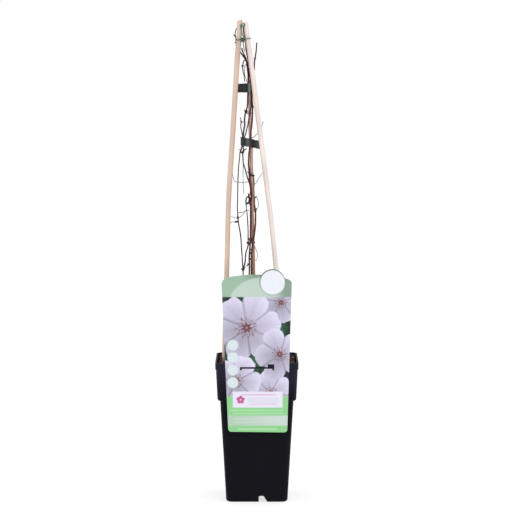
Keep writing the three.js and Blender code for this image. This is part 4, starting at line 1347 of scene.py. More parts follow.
@dataclass
class WindingStem:
    """One bare stem with its side shoots, buds and tendrils, as one piece.

    Attributes:
        shoots: Its shoots, the main one first.
        rib_twist: How far the ribs turn along it, in radians a mm.
        bud_lean: How far a bud leans out for each mm that it climbs.
        swelling: How much thicker a main shoot is at a leaf joint, as a share.
    """

    name: str
    node: str
    shoots: Sequence[Shoot]
    seed: int
    rib_count: int = 6
    rib_twist: float = 0.02
    bud_length: float = 4.4
    bud_width: float = 1.05
    bud_lean: float = 0.75
    bud_scales: float = 3.0
    bud_shades: tuple[str, str] = ("#2a1d24", "#4b3236")
    swelling: float = 0.55
    swelling_reach: float = 1.7

    def shoot_surface(self, shoot: Shoot, order: int) -> Surface:
        """A shoot's ribbed bark.

        Formula: the radius is widened at the leaf joints by a bell curve, times a wave with six
        crests that slowly twists along the shoot, times a little noise.

        Args:
            shoot: The shoot.
            order: Its number, which sets its twist and shade.

        Returns:
            The surface.
        """
        look = shoot.growth.value
        reach = distances_along(smooth_route(shoot.route))
        joints = reach[np.array(shoot.joints, int) * CURVE_SAMPLES]
        seed = self.seed + order

        def relief(distance: Array, angle: Array) -> Array:
            """Widens the joints and ribs the bark.

            Args:
                distance: (r, 1) distances along.
                angle: (1, s) angles round.

            Returns:
                (r, s) factors.
            """
            bells = bell(distance[..., None], joints, self.swelling_reach).sum(axis=-1)
            twist = distance * self.rib_twist * (1 if order % 2 else -1)
            crests = look.ribs * np.cos(self.rib_count * angle + twist)
            uneven = 0.05 * unevenness(distance, angle, 4.0, 2.2, seed)
            return (1.0 + self.swelling * look.joints * bells) * (1.0 + crests + uneven)

        def tint(rings: Array, outward: Array) -> Array:
            """Blends the colours from root to tip, in patches.

            Args:
                rings: (r, s, 3) places.
                outward: (r, s, 3) outward directions, which are not used.

            Returns:
                (r, s, 3) sRGB colours.
            """
            share = np.linspace(0.0, 1.0, len(rings))[:, None]
            patches = smooth_noise(rings, 16.0, seed)
            base = mix(look.root, look.tip, np.clip(share + 0.35 * patches, 0.0, 1.0))
            return np.clip(base * (1.0 + 0.16 * patches)[..., None], 0.0, 1.0)

        sides, spacing = (8, 1.6) if shoot.growth is Growth.TENDRIL else (12, 1.5)
        return Rod(shoot.route, shoot.radii, sides, spacing).surface(relief, tint)

    def bud_surfaces(self, shoot: Shoot) -> list[Surface]:
        """The pointed bud pairs at a shoot's leaf joints, each pair turned against the last.

        Args:
            shoot: The shoot.

        Returns:
            One surface for each bud.
        """
        curve = smooth_route(shoot.route)
        slopes = np.gradient(curve, axis=0)
        buds = []
        for order, joint in enumerate(shoot.joints):
            spot = min(joint * CURVE_SAMPLES, len(curve) - 1)
            along = slopes[spot] / np.linalg.norm(slopes[spot])
            turn = (order % 2) * math.radians(70.0)
            side = np.array([math.cos(turn), math.sin(turn), 0.0])
            side = side - along * (side @ along)
            side /= np.linalg.norm(side)
            for sign in (-1.0, 1.0):
                buds.append(self.bud(curve[spot], along, sign * side, shoot.growth.value.joints))
        return buds

    def bud(self, place: Array, along: Array, side: Array, scale: float) -> Surface:
        """One bud.

        Formula: a short rod that leans away from the stem. Its radius follows a drop shape, full
        near the base and pointed at the tip, with a small step for each of its scales.

        Args:
            place: The middle of the leaf joint.
            along: The stem's direction there.
            side: The direction that the bud leans to.
            scale: Its size against a main shoot's bud.

        Returns:
            The surface.
        """
        length = self.bud_length * scale
        base = place + side * 0.5 * scale
        middle = base + (side * self.bud_lean + along) * 0.45 * length
        tip = base + (side * self.bud_lean * 0.8 + along) * 0.9 * length
        width = self.bud_width * scale
        rod = Rod([tuple(base), tuple(middle), tuple(tip)], (width, width), 8, 0.45, 0.12)
        reach = distances_along(smooth_route(rod.route))[-1]

        def relief(distance: Array, angle: Array) -> Array:
            """Shapes the drop and its scales.

            Args:
                distance: (r, 1) distances along.
                angle: (1, s) angles round.

            Returns:
                (r, s) factors.
            """
            share = np.clip(distance / reach, 0.0, 1.0)
            fullness = np.sin(math.pi * np.clip(share * 0.93 + 0.07, 0, 1) ** 0.62)
            drop = 1.25 * fullness * (1 - 0.35 * share)
            scales = 1.0 + 0.12 * (1.0 - np.mod(share * self.bud_scales, 1.0))
            return np.maximum(drop * scales, 0.08) + 0.0 * angle

        def tint(rings: Array, outward: Array) -> Array:
            """A shade that starts again at each scale."""
            share = np.linspace(0.0, 1.0, len(rings))[:, None] + 0.0 * rings[..., 0]
            return mix(*self.bud_shades, np.mod(share * self.bud_scales, 1.0))

        return rod.surface(relief, tint)

    def build(self) -> None:
        """Makes and dresses the stem."""
        surfaces = []
        for order, shoot in enumerate(self.shoots):
            surfaces.append(self.shoot_surface(shoot, order))
            surfaces.extend(self.bud_surfaces(shoot))
        fit(write_mesh(self.name, joined(surfaces), crease=70.0), BARK, Slot.BARK, self.node)


STEM_LEFT = (
    Shoot((
        (-9.5, -3, 178), (-9.5, -3, 221), (-16.6, -2, 302.1), (-21.8, -1, 358.4), (-22.1, -1, 366.4),
        (-22.8, -1, 374.5), (-23.4, -1, 385.7), (-24.5, -0.5, 401.7), (-25.3, 0, 414.5), (-26.4, 0, 425.7),
        (-28, 0, 433.7), (-29.1, 0, 440.1), (-29.6, 0, 444.9), (-30.1, 0, 449.7),
    ), (1.3, 0.95), joints=(4, 13)),
    Shoot((
        (-29.6, 0, 444.9), (-30.1, 0, 449.7), (-30.4, 0, 452.9), (-30.9, 0, 465.6), (-30.7, 0, 478.4),
        (-30.5, 0, 491.2), (-30.2, 0.5, 507.1), (-29.7, 1, 519.8), (-29.2, 1.5, 529.4), (-28.4, 2, 537.3),
        (-27.6, 2.4, 543.6), (-27.3, 2.7, 548.4), (-27, 3, 552.4), (-25.9, 3.4, 556.3),
    ), (0.8, 0.85)),
    Shoot((
        (-27, 3, 552.4), (-25.9, 3.4, 556.3), (-24.6, 3.7, 560.3), (-23.3, 3.8, 564.3), (-22.7, 4, 570.6),
        (-22, 4, 577), (-21.6, 4, 581.7), (-21.1, 4, 586.5), (-20.5, 4, 591.3), (-19.5, 3.9, 596),
        (-19.3, 3.8, 599.2), (-19.8, 3.7, 602.4), (-19.5, 3.6, 607.1), (-19, 3.6, 611.9),
        (-18.4, 3.6, 615.4), (-17.6, 3.4, 618.2), (-16.6, 3.8, 621.4), (-15.5, 4.4, 625.4),
        (-14.7, 4.8, 630.9), (-14.6, 5, 637.2), (-14.4, 5, 645.2), (-14.2, 5, 651.5), (-14.1, 5, 657.8),
        (-14.2, 5, 664.2), (-13.9, 5, 670.5), (-13.9, 5, 676.8), (-14.5, 5, 683.1), (-15.2, 4.8, 689.4),
        (-16, 4.7, 695.7), (-17.4, 4.6, 700.5), (-19.1, 4.6, 703.6), (-21.3, 4.6, 706.8),
        (-23.4, 4.6, 709.2), (-25.5, 4.6, 711.8),
    ), (1.15, 1.25), joints=(15,)),
    Shoot((
        (-22.1, -1, 366.4), (-18.8, -0.8, 379.4), (-18.3, -0.6, 387.1), (-17.3, -0.5, 394.8),
        (-15.1, -0.6, 402.1), (-13.5, -0.4, 408.6), (-13.9, -0.2, 415.1), (-14, 0, 430.1),
        (-14.4, 0, 439.1), (-15.3, 0, 452.8), (-16, 0, 461.1), (-16.8, 0.2, 469.6), (-17.3, 0.2, 474.4),
    ), (1.1, 0.8), joints=(5,)),
    Shoot((
        (-16.8, 0.2, 469.6), (-17.3, 0.2, 474.4), (-17.1, 0.2, 479.2), (-15.9, 0.3, 482.7),
        (-13.8, 0.4, 484.1), (-11.6, 0.4, 486.1), (-10.3, 0.4, 490.1), (-10.1, 0.6, 497.1),
        (-11.5, 1.2, 504.1), (-12.9, 1.8, 508.1), (-14.7, 2.4, 513.1), (-18.2, 2.2, 526.1),
        (-21.4, 1.6, 536.5), (-22.1, 1.6, 545.3), (-22.4, 1.7, 550), (-22.8, 1.8, 553.2), (-21.6, 2.1, 558),
        (-21.3, 2.6, 562.7), (-20.8, 3.1, 570.6), (-19.5, 3.3, 578.6), (-17.9, 3.3, 583.4),
        (-16.9, 3.3, 587.3), (-15.8, 3.3, 592.1), (-14.4, 3.4, 597.6), (-13.1, 3.4, 605.6),
        (-12.2, 3.4, 611.9), (-11.1, 3.4, 617.5), (-9.9, 3.3, 623), (-9.1, 3.3, 627.8), (-8.8, 3.2, 634.1),
        (-8.8, 3.1, 640.4), (-9, 2.9, 646.8), (-9.1, 2.8, 652.3),
    ), (1.05, 0.95), joints=(15,)),
    Shoot((
        (-13.8, 0.4, 484), (-11.7, 0.6, 481.6), (-11.6, 0.8, 477.4), (-13.2, 0.5, 473.9), (-15.7, 0.2, 473),
        (-17.3, 0.2, 473.9),
    ), (1.7, 1.5), Growth.STUB),
    Shoot(((-13.2, 0.4, 484.3), (-13.3, -0.4, 486.7), (-13.6, -0.8, 489.3)), (0.9, 0.6), Growth.STUB),
    Shoot((
        (-22.7, 4, 570.6), (-22.7, 3, 579.4), (-23.3, 2.2, 583.7), (-24.4, 1.8, 588.9), (-25.4, 1.8, 594.5),
        (-25.4, 1.8, 599.2), (-24.7, 1.8, 602.1), (-25.5, 1.8, 605.6), (-26.1, 1.8, 610),
    ), (0.9, 0.6), Growth.TWIG, (6,)),
    Shoot(((-17.6, 3.4, 618.2), (-16, 2.6, 617), (-14.4, 2.4, 615.4)), (1.1, 0.9), Growth.STUB),
    Shoot((
        (-17.4, 4.6, 700.5), (-25.2, 7.6, 711.6), (-29.5, 7.8, 717.9), (-32.1, 7.2, 722.9),
        (-32.8, 6.6, 728.1), (-33.1, 6, 732), (-33.2, 5.6, 736), (-34.5, 5.2, 739.9), (-34.3, 5, 743.8),
        (-33.2, 5.2, 747.8), (-31.6, 5.6, 750.9),
    ), (1.2, 0.65), Growth.TWIG, (3,)),
    Shoot(((-33.2, 5.5, 736.4), (-35.3, 5, 738.9), (-37.3, 4.6, 740.8)), (0.9, 0.6), Growth.STUB),
    Shoot(((-32.6, 6.8, 726.4), (-33.7, 6.2, 727.5), (-35, 5.8, 728.7)), (0.8, 0.6), Growth.STUB),
    Shoot(((-29.6, 0, 444.2), (-32.5, -0.4, 443.6), (-35.5, -0.8, 443.5)), (1.5, 1.5), Growth.STUB),
    Shoot(((-21.9, 1.8, 556.6), (-18.7, 0.6, 558.8), (-16.3, 0, 560.5)), (1.1, 0.8), Growth.STUB),
    Shoot(((-22.1, 3.4, 692.1), (-23.6, 3.2, 691.8), (-24.8, 3, 691.6)), (1, 0.8), Growth.STUB),
    Shoot((
        (-24.7, 1.8, 601.9), (-22, 2.4, 601.6), (-19.6, 3.1, 602.1), (-16, 2.9, 602.4),
    ), (0.6, 0.5), Growth.TENDRIL),
    Shoot(((-25.9, 3.4, 556.3), (-27.5, 2.4, 559.1), (-29.2, 2, 558.6)), (0.6, 0.45), Growth.TENDRIL),
    Shoot((
        (-17.4, 4.6, 700.5), (-21.3, 3.8, 698.9), (-21.8, 3.4, 695.7), (-22.1, 3.4, 692.1),
        (-22.9, 3.4, 688.6), (-22.1, 3.4, 683.9), (-21, 3.4, 679.2), (-19.9, 3.4, 674.4),
        (-19.8, 3.4, 669.7), (-18.5, 3.6, 665.7),
    ), (0.9, 0.7), Growth.TWIG, (3,)),
    Shoot((
        (-16.1, 4.7, 695), (-18.8, 3.8, 691), (-20.1, 3.4, 687), (-19.6, 3.2, 682.3), (-19.4, 3, 676.8),
        (-17.9, 3.2, 672.8), (-16.8, 3.4, 669.7), (-16.3, 3.6, 665.7),
    ), (0.6, 0.5), Growth.TENDRIL),
    Shoot((
        (-21.8, 1.6, 540.1), (-21.9, 0.6, 521.1), (-21.6, 0.4, 504.1), (-20.8, 0.4, 487.1),
    ), (0.5, 0.45), Growth.TENDRIL),
    Shoot((
        (-13.3, 1.8, 507.5), (-21.7, -0.6, 506.3), (-30.3, -0.9, 507.1), (-34.9, -1.5, 507.9),
        (-37, -2, 512.6), (-39, -1.4, 521.1),
    ), (0.5, 0.45), Growth.TENDRIL),
    Shoot((
        (-30.7, 0, 458.8), (-25.9, -1, 458.4), (-18.2, -1.2, 460.8), (-12.2, -0.6, 461.8),
        (-7.7, 0.6, 462.1), (-3.3, 3.6, 461.9),
    ), (0.6, 0.45), Growth.TENDRIL),
    Shoot((
        (-30.4, 0, 450.5), (-27.3, -0.8, 450.8), (-20.3, -1, 457.8), (-17.1, -0.4, 463.1),
        (-16.6, 0.2, 469.1),
    ), (0.6, 0.5), Growth.TENDRIL),
    Shoot((
        (-30.4, 0, 449.8), (-34, -0.6, 449.8), (-38, -1, 451.1), (-43.9, -1.6, 452.1),
    ), (0.6, 0.45), Growth.TENDRIL),
    Shoot(((-35.1, -0.8, 443.3), (-39.1, -1.2, 443.8), (-42.9, -1.4, 441.1)), (0.6, 0.45), Growth.TENDRIL),
    Shoot((
        (-22.1, -1, 366.4), (-19.5, -0.4, 369.8), (-15.5, -0.2, 374.1), (-14.1, -0.2, 378.1),
    ), (0.6, 0.45), Growth.TENDRIL),
)

STEM_MIDDLE = (
    Shoot((
        (-7, 2.5, 178), (-7, 2.5, 221), (-10.7, 3, 299.1), (-12.1, 2.9, 357.1), (-11.9, 2.8, 370.1),
        (-12.1, 2.8, 387.1), (-11.5, 3, 398.1), (-10.3, 3.5, 414.1), (-10, 4.2, 438.1), (-9.8, 4.2, 459.1),
        (-9.6, 3.9, 473.1), (-8.1, 3.6, 484.6), (-9.3, 3.9, 496.1), (-11.3, 4.8, 507.1),
        (-11.9, 5.6, 517.7), (-12.4, 6.2, 526), (-13, 6.2, 533.9), (-13, 6.2, 541.9), (-12.7, 6, 549.9),
        (-11.7, 5, 557.9), (-11.4, 4.4, 562.7), (-10.9, 3.8, 569), (-10.3, 3.6, 577), (-9.6, 3.6, 583.3),
        (-9.2, 3.6, 589.7), (-8.2, 4, 596), (-7.6, 5, 602.4), (-7.2, 5.6, 608.7), (-6.9, 5.6, 615.1),
        (-6.9, 5.6, 621.4), (-6.8, 5.6, 626.2), (-7.2, 5.6, 632.5), (-7.7, 5.6, 638.8), (-7.7, 5.5, 645.2),
        (-8.7, 5.2, 651.5), (-9.5, 4.5, 657.8), (-10.3, 4.1, 664.1), (-10.1, 4.1, 670.5),
        (-10.4, 4.8, 676.8), (-11, 5, 684.7), (-12, 5, 692.6), (-13.6, 5, 700.5), (-15.2, 5, 706.8),
        (-16.3, 5, 713.1), (-17.2, 5, 719.4), (-17.5, 4.9, 725.7), (-18, 4.9, 730.4), (-19.1, 4.8, 735.2),
        (-20.1, 4.7, 739.9), (-20.8, 4.7, 744.6), (-21.2, 4.6, 749.3), (-21, 4.6, 753.1),
    ), (1.4, 1.25), Growth.REDDISH, (7, 30)),
    Shoot((
        (-10.2, 4.5, 673.6), (-7.9, 5.9, 678.1), (-5.2, 6, 682.3), (-4.1, 5.6, 686), (-4.1, 5.2, 691),
        (-3.7, 5, 697.3), (-3.1, 4.8, 702.1), (-2, 4.6, 708.4), (-0.9, 4.4, 716.2), (-0.4, 4.2, 722.5),
        (0.1, 4, 728.1),
    ), (1.15, 0.95), Growth.TWIG, (6,)),
    Shoot((
        (-12, 5.8, 520.4), (-11.3, 3.8, 518.5), (-8.3, 3.2, 517.1), (-5.3, 3.2, 516.9), (-3.5, 3.8, 517.8),
    ), (1.35, 1.25), Growth.STUB),
    Shoot(((-10.6, 4.4, 469.1), (-12.1, 3.2, 474.5), (-10.1, 2.2, 477.9)), (0.9, 0.6), Growth.STUB),
    Shoot(((-11.6, 3.4, 408.1), (-14.3, 2.2, 409), (-16.9, 2, 410.1)), (0.9, 0.6), Growth.STUB),
    Shoot(((-12.1, 2.9, 395), (-10.6, 1.8, 393.8), (-9.2, 1.6, 392.2)), (1.1, 0.9), Growth.STUB),
    Shoot(((-12.2, 2.9, 385.4), (-10.8, 1.8, 384.5), (-9.5, 1.6, 382.6)), (1.1, 0.9), Growth.STUB),
    Shoot(((-12.2, 2.9, 376.7), (-13.8, 1.8, 375.2), (-15.3, 1.6, 371.7)), (0.8, 0.5), Growth.STUB),
    Shoot(((-12.2, 5.8, 520.6), (-13.8, 5, 522.2), (-15.1, 4.8, 523.5)), (0.9, 0.6), Growth.STUB),
    Shoot((
        (-11.1, 3.2, 408.1), (-10.1, 2, 402.1), (-9.5, 2, 395.1), (-9.9, 2.4, 388.6),
    ), (0.6, 0.45), Growth.TENDRIL),
)

STEM_RIGHT = (
    Shoot((
        (-2.5, -0.5, 178), (-2.5, -0.5, 221), (-6.7, 2, 289.1), (-8.7, 4.2, 357.1), (-8.8, 4.2, 385.1),
        (-8.1, 3.8, 398.1), (-5.7, 3.3, 413.1), (-3.6, 4.2, 426.1), (-2.3, 6.7, 439.1), (-2.1, 8.7, 448.1),
        (-2.4, 9.7, 461.1), (-4.1, 10.4, 471.4), (-4.1, 11, 477.8), (-4.7, 11.4, 484.2),
        (-5.2, 11.8, 493.8), (-5, 12, 501.7), (-5, 12.2, 509.7), (-6.3, 12.3, 517.7), (-7.4, 12.4, 528.9),
        (-8.1, 12.4, 541.7), (-8.4, 12.4, 557.6), (-9.7, 12.4, 573.6), (-10.6, 12.4, 589.5),
        (-10.9, 12.4, 605.4), (-11.1, 12.3, 621.3), (-11.2, 12.3, 637.2), (-11.6, 12.3, 649.9),
        (-12, 12.2, 659.4), (-12.5, 12, 665.8), (-12.8, 11.7, 669.7), (-12.7, 10.7, 673.7),
        (-12.8, 9.4, 678.4), (-13.4, 8.5, 684.7), (-14.2, 8.1, 691.1), (-15.5, 8.1, 697.4),
        (-16.9, 8.1, 702.1), (-18.5, 8.1, 705.3), (-19.9, 8.1, 708.4), (-21.4, 8.1, 711.6),
        (-22.8, 8, 714.7), (-24.2, 8, 719.5),
    ), (1.4, 1.15), Growth.REDDISH, (10,)),
    Shoot(((-4.1, 11.1, 479.4), (-2.2, 9.6, 482), (-0.4, 8.6, 483.8)), (1, 0.95), Growth.STUB),
    Shoot((
        (-0.6, 8.6, 483.5), (0.2, 8, 482), (1.8, 6, 478.1), (2.5, 5, 471.7), (1.8, 5, 466.1),
        (-0.1, 5.6, 463.7), (-3, 6.6, 461.7),
    ), (0.55, 0.45), Growth.TENDRIL),
    Shoot(((-6.3, 3.4, 409.4), (-4.2, 2.4, 410.6), (-2.3, 2.2, 409.6)), (0.9, 0.6), Growth.STUB),
    Shoot((
        (-5, 12, 500.9), (-0.3, 8.4, 506.8), (3.7, 5, 513.5), (9.7, 3, 522.5),
    ), (0.45, 0.4), Growth.TENDRIL),
    Shoot((
        (-9.8, 12.4, 576.8), (-5.4, 11.9, 578), (-2.7, 9, 580.5), (2.3, 5, 586.2), (5.8, 4.4, 592.1),
        (8.8, 4.2, 597.6), (10.1, 3.6, 603.5),
    ), (0.5, 0.6), Growth.TENDRIL),
    Shoot((
        (-5.5, 3.4, 414.8), (-3.9, 2.6, 406.1), (-0.5, 2.8, 396.8), (1.1, 3.2, 391.4), (0.3, 3.2, 384.8),
        (-2, 4, 380.1),
    ), (0.6, 0.45), Growth.TENDRIL),
)


# ---- ties ----


@dataclass
class TapeTie:
    """A loop of tying tape round the stems, with its two ends pressed together as a tail.

    Attributes:
        loop: The loop seen from above, from the tail's inner end round to it again.
        tail: The tail's outer end seen from above, the near layer first and then the far one.
        bottom: The height of its lower edge at the loop's first point.
        slope: How far it rises towards +X, in mm a mm.
        streaks: Painted highlights on its front, as (x, half width, strength).
        ragged: How far its cut ends stand out and in, in mm.
        painted_fold_shade: The painted shade at the fold in the loop's middle.
    """

    name: str
    node: str
    loop: Sequence[tuple[float, float]]
    tail: Sequence[tuple[float, float]]
    bottom: float
    height: float
    slope: float
    seed: int
    streaks: Sequence[Point]
    thickness: float = 0.5
    rows: int = 15
    ragged: float = 1.3
    colour: str = "#131716"
    painted_fold_shade: str = "#0d1110"
    painted_highlight: str = "#8d9094"

    def surface(self) -> Surface:
        """The tape's closed surface.

        Formula: a middle line runs in along the near layer of the tail, round the loop and out
        along the far layer. A thin upright rectangle with waved top and bottom edges is carried
        along it, and the two cut ends are ragged. A painted shade darkens the fold in the loop's
        middle, and painted highlights lie across its front.

        Returns:
            The surface.
        """
        half = len(self.tail) // 2
        curve = smooth_route([(x, y, 0.0) for x, y in (*self.tail[:half], *self.loop, *self.tail[half:])])
        reach = distances_along(curve)
        end = reach[-1]
        stations = np.linspace(0.0, end, max(40, round(end / 0.8)))
        centre = read_off(curve[:, :2], reach, stations)
        along = np.gradient(centre, stations, axis=0)
        along /= np.linalg.norm(along, axis=1)[:, None]
        distance = stations[:, None]
        rise = np.linspace(0.0, 1.0, self.rows)
        up = np.concatenate([rise, rise[::-1]])[None, :]
        side = np.repeat([0.5, -0.5], self.rows)[None, :] * self.thickness
        wave = smooth_noise(distance, 9.0, self.seed)[:, None]
        hollow = smooth_noise(distance, 14.0, self.seed + 1)[:, None]
        shift = side + 0.25 * np.sin(math.pi * up) * hollow
        jag = self.ragged * smooth_noise(up.T * 9.0, 4.0, self.seed + 2)[None, :]
        near_end = np.clip(1.0 - np.minimum(distance, end - distance) / 4.0, 0.0, 1.0)
        push = jag * near_end * np.where(distance < end / 2, 1.0, -1.0)
        x = centre[:, :1] + along[:, 1:] * shift + along[:, :1] * push
        y = centre[:, 1:] - along[:, :1] * shift + along[:, 1:] * push
        level = self.bottom + self.slope * (x - self.loop[0][0])
        z = level + up * self.height + 0.25 * wave * (2 * up - 1)
        straight = np.stack(np.broadcast_arrays(shift, up * self.height, distance), axis=-1)
        # painted shade: the tape darkens towards the fold in the loop's middle
        fold = bell(distance, end * 0.5, end * 0.04) + 0.0 * up
        tint = mix(self.colour, self.painted_fold_shade, 0.5 * fold)
        # painted highlights: bands across the front turned towards pale grey, where the gloss would catch
        # the light
        for place, width, strength in self.streaks:
            tint = mix(tint, self.painted_highlight, strength * bell(x, place, width))
        return closed_rings(np.stack([x, y, z], axis=-1), straight, tint)

    def build(self) -> None:
        """Makes and dresses the tape."""
        fit(write_mesh(self.name, self.surface(), crease=50.0), TAPE, Slot.TAPE, self.node)


@dataclass
class TwistTie:
    """The green wire that ties the canes' tops: a ring, a twisted knot and two long ends."""

    radius: float = 0.75
    ring: Route = (
        (-33.9, -0.6, 731.4), (-32.7, -4.2, 731.6), (-28.3, -6.1, 732), (-22, -6.1, 732.6),
        (-15.1, -5.7, 733.6), (-10.9, -3.9, 734.4), (-9.6, -0.6, 734.6), (-10.8, 3.3, 734.4),
        (-14.6, 5.6, 733.8), (-18.6, 7.1, 733.2), (-23, 6.4, 732.4), (-28.4, 5.3, 731.8),
        (-32.9, 3.1, 731.4), (-33.9, -0.6, 731.4),
    )
    end_up: Route = (
        (-19.7, -6, 735.3), (-21.3, -6.9, 736.9), (-22.7, -6.2, 739.6), (-23.8, -5.6, 745.2),
        (-25.2, -5.3, 750.6), (-25.7, -5.3, 753.4), (-24.1, -5.5, 755.9), (-21.6, -5.6, 757.5),
        (-19.4, -5.6, 756.5), (-19.4, -5.5, 754), (-21.9, -5.9, 752.7), (-24.6, -6.3, 751.2),
    )
    coil: Route = (
        (-24.2, -6.1, 751.8), (-23.9, -5.6, 753.8), (-22.4, -5.5, 755.3), (-21.1, -5.6, 754.5),
        (-21.6, -5.8, 753.2),
    )
    end_down: Route = (
        (-19.7, -6, 728.8), (-21.6, -6.2, 727), (-21, -5, 723.1), (-20.6, -4.2, 720), (-20, -3.6, 716.9),
        (-19.4, -3.2, 713.7),
    )
    knot: Point = (-22.2, -6, 728.6)
    knot_radii: tuple[float, float] = (2.5, 1.8)
    knot_height: float = 6.9
    knot_turns: int = 3
    ring_colour: str = "#4a6650"
    knot_colour: str = "#2b5a45"
    end_colour: str = "#3d6a50"
    tail_colour: str = "#2c4649"

    def knot_route(self) -> Route:
        """The knot's strand: a helix, flattened front to back.

        Returns:
            Its points, eight to a turn.
        """
        share = np.linspace(0.0, 1.0, 8 * self.knot_turns + 1)
        angle = share * self.knot_turns * 2 * math.pi
        x = self.knot[0] + self.knot_radii[0] * np.cos(angle)
        y = self.knot[1] + self.knot_radii[1] * np.sin(angle)
        z = self.knot[2] + self.knot_height * share
        return [tuple(point) for point in np.stack([x, y, z], axis=1)]

    def strand(self, route: Route, colour: str) -> Surface:
        """One length of wire in one colour."""
        rod = Rod(route, (self.radius, self.radius), 10, 0.8)
        return rod.surface(tint=lambda rings, outward: np.broadcast_to(channels(colour), rings.shape))

    def build(self) -> None:
        """Makes and dresses the wire."""
        strands = [
            self.strand(self.ring, self.ring_colour),
            self.strand(self.knot_route(), self.knot_colour),
            self.strand(self.end_up, self.end_colour),
            self.strand(self.coil, self.end_colour),
            self.strand(self.end_down, self.tail_colour),
        ]
        fit(write_mesh("wire_twist_tie", joined(strands), crease=60.0), WIRE, Slot.WIRE, "twist_tie")


# ---- plant card ----


@dataclass
class Page:
    """What is printed on one side of the card.

    Attributes:
        x: (n,) places across.
        z: (n,) places up.
        colours: (n, 3) sRGB colours so far.
    """

    x: Array
    z: Array
    colours: Array

    def ink(self, colour: Colour, share: Array) -> None:
        """Prints a colour over the rest, as densely as the share says."""
        self.colours = mix(self.colours, colour, share)

    def away(self, x: float, z: float) -> Array:
        """How far each place is from one point."""
        return np.hypot(self.x - x, self.z - z)


@dataclass(frozen=True)
class Blossom:
    """One generic open flower with round petals, as printed on the card."""

    x: float
    z: float
    radius: float
    turn: float
    petals: int = 5
    deep: str = "#a09cab"
    pale: str = "#bdb8d0"
    edge: str = "#d3cfe5"
    heart: str = "#5e2530"
    anther: str = "#a98b95"
    style: str = "#a39d86"

    def paint(self, page: Page) -> None:
        """Prints the flower.

        Formula: in polar coordinates round its middle, the outline's radius falls towards the
        joins of the petals. Inside it, colour runs from deep to pale with the radius, with fine
        lengthwise veins, and each petal throws a shade on the next. Round the middle stand
        uneven spokes with dark tips.

        Args:
            page: What it is printed on.
        """
        radius = page.away(self.x, self.z)
        angle = np.arctan2(page.z - self.z, page.x - self.x) + self.turn
        phase = np.mod(angle * self.petals / (2 * math.pi), 1.0) - 0.5
        wavy = 1 + 0.05 * np.sin(3 * angle + self.x) + 0.02 * np.sin(17 * angle)
        outline = self.radius * (1.0 - 2.2 * np.abs(phase) ** 3) * wavy
        share = np.clip(radius / outline, 0.0, 1.0)
        petal = mix(mix(self.deep, self.pale, share**0.7), self.edge, 0.8 * share**3)
        veins = 0.05 * np.cos(phase * 95.0) * (1.0 - share) - 0.1 * bell(np.abs(phase), 0.05, 0.02)
        shade = 0.24 * soft_step(phase, 0.43, 0.1) + 0.06 * soft_step(-phase, 0.46, 0.05)
        light = 0.07 * np.sin(angle - self.turn + 0.6)
        petal = petal * (1.0 + veins * (1.0 - 0.7 * share) - shade + light)[:, None]
        inner = radius / self.radius
        reach = 0.25 + 0.05 * np.sin(11 * angle) + 0.03 * np.sin(23 * angle + 1.0)
        comb = np.cos(angle * 31 + 2.2 * np.sin(4 * angle))
        spoke = soft_step(comb, 0.25, 0.3) * soft_step(reach - inner, 0.0, 0.02)
        petal = mix(petal, self.anther, 0.6 * spoke)
        petal = mix(petal, self.heart, 0.85 * spoke * soft_step(inner - reach, -0.07, 0.03))
        petal = mix(petal, self.heart, 0.8 * soft_step(-inner, -0.12 - 0.03 * np.sin(7 * angle), 0.05))
        petal = mix(petal, self.style, 0.8 * soft_step(-inner, -0.035, 0.03))
        page.ink(np.clip(petal, 0, 1), soft_step(outline - radius, 0.0, 0.8))


@dataclass(frozen=True)
class PrintedLeaf:
    """One pointed leaf with a pale midrib, as printed on the card."""

    x: float
    z: float
    length: float
    width: float
    turn: float
    colour: str = "#22593c"
    rib: str = "#5b8a68"

    def paint(self, page: Page) -> None:
        """Prints the leaf.

        Formula: along its axis the half width is a sine arch raised to a power, and side veins
        are a slanted wave.

        Args:
            page: What it is printed on.
        """
        along, across = turned(page.x - self.x, page.z - self.z, -self.turn)
        along, across = along / self.length, across / self.width
        half = np.sin(math.pi * np.clip(along, 0, 1)) ** 0.8
        veins = 0.12 * np.cos(70 * (along - 0.35 * np.abs(across)))
        leaf = channels(self.colour) * (0.92 + veins + 0.15 * across)[:, None]
        leaf = mix(leaf, self.rib, soft_step(-np.abs(across), -0.05, 0.05))
        page.ink(np.clip(leaf, 0, 1), soft_step(half - np.abs(across), 0.03, 0.06))


@dataclass(frozen=True)
class PlainRule:
    """One plain bar, as printed on the card where words could stand."""

    low_x: float
    high_x: float
    height: float
    thickness: float
    colour: str
    density: float

    def paint(self, page: Page) -> None:
        """Prints the bar."""
        upright = soft_step(-np.abs(page.z - self.height), -self.thickness / 2, 0.8)
        page.ink(self.colour, self.density * upright * band(page.x, self.low_x, self.high_x, 1.0))


@dataclass(frozen=True)
class CardInks:
    """The card's printing colours, apart from those of its flowers, leaves and rules."""

    shade: str = "#0b1613"
    foliage: str = "#23583c"
    header_left: str = "#97b5a0"
    header_right: str = "#82998c"
    header_middle: str = "#7a937f"
    sweep: str = "#bfd0c4"
    footer: str = "#8bca8b"
    strip_left: str = "#aec6b3"
    strip_right: str = "#c2d1c7"
    box: str = "#dfdcec"
    dots: str = "#b9558c"
    disc_edge: str = "#c2d2cd"
    disc: str = "#d5dde6"
    disc_ring: str = "#b3ccbe"
    badge_foot: str = "#9fb2a4"
    badge_top: str = "#5f7268"
    badge: str = "#e3e5ee"
    back: str = "#eceee8"
    back_header: str = "#a5cfab"
    back_rules: str = "#9aa79e"
    hook: str = "#e6ebe2"


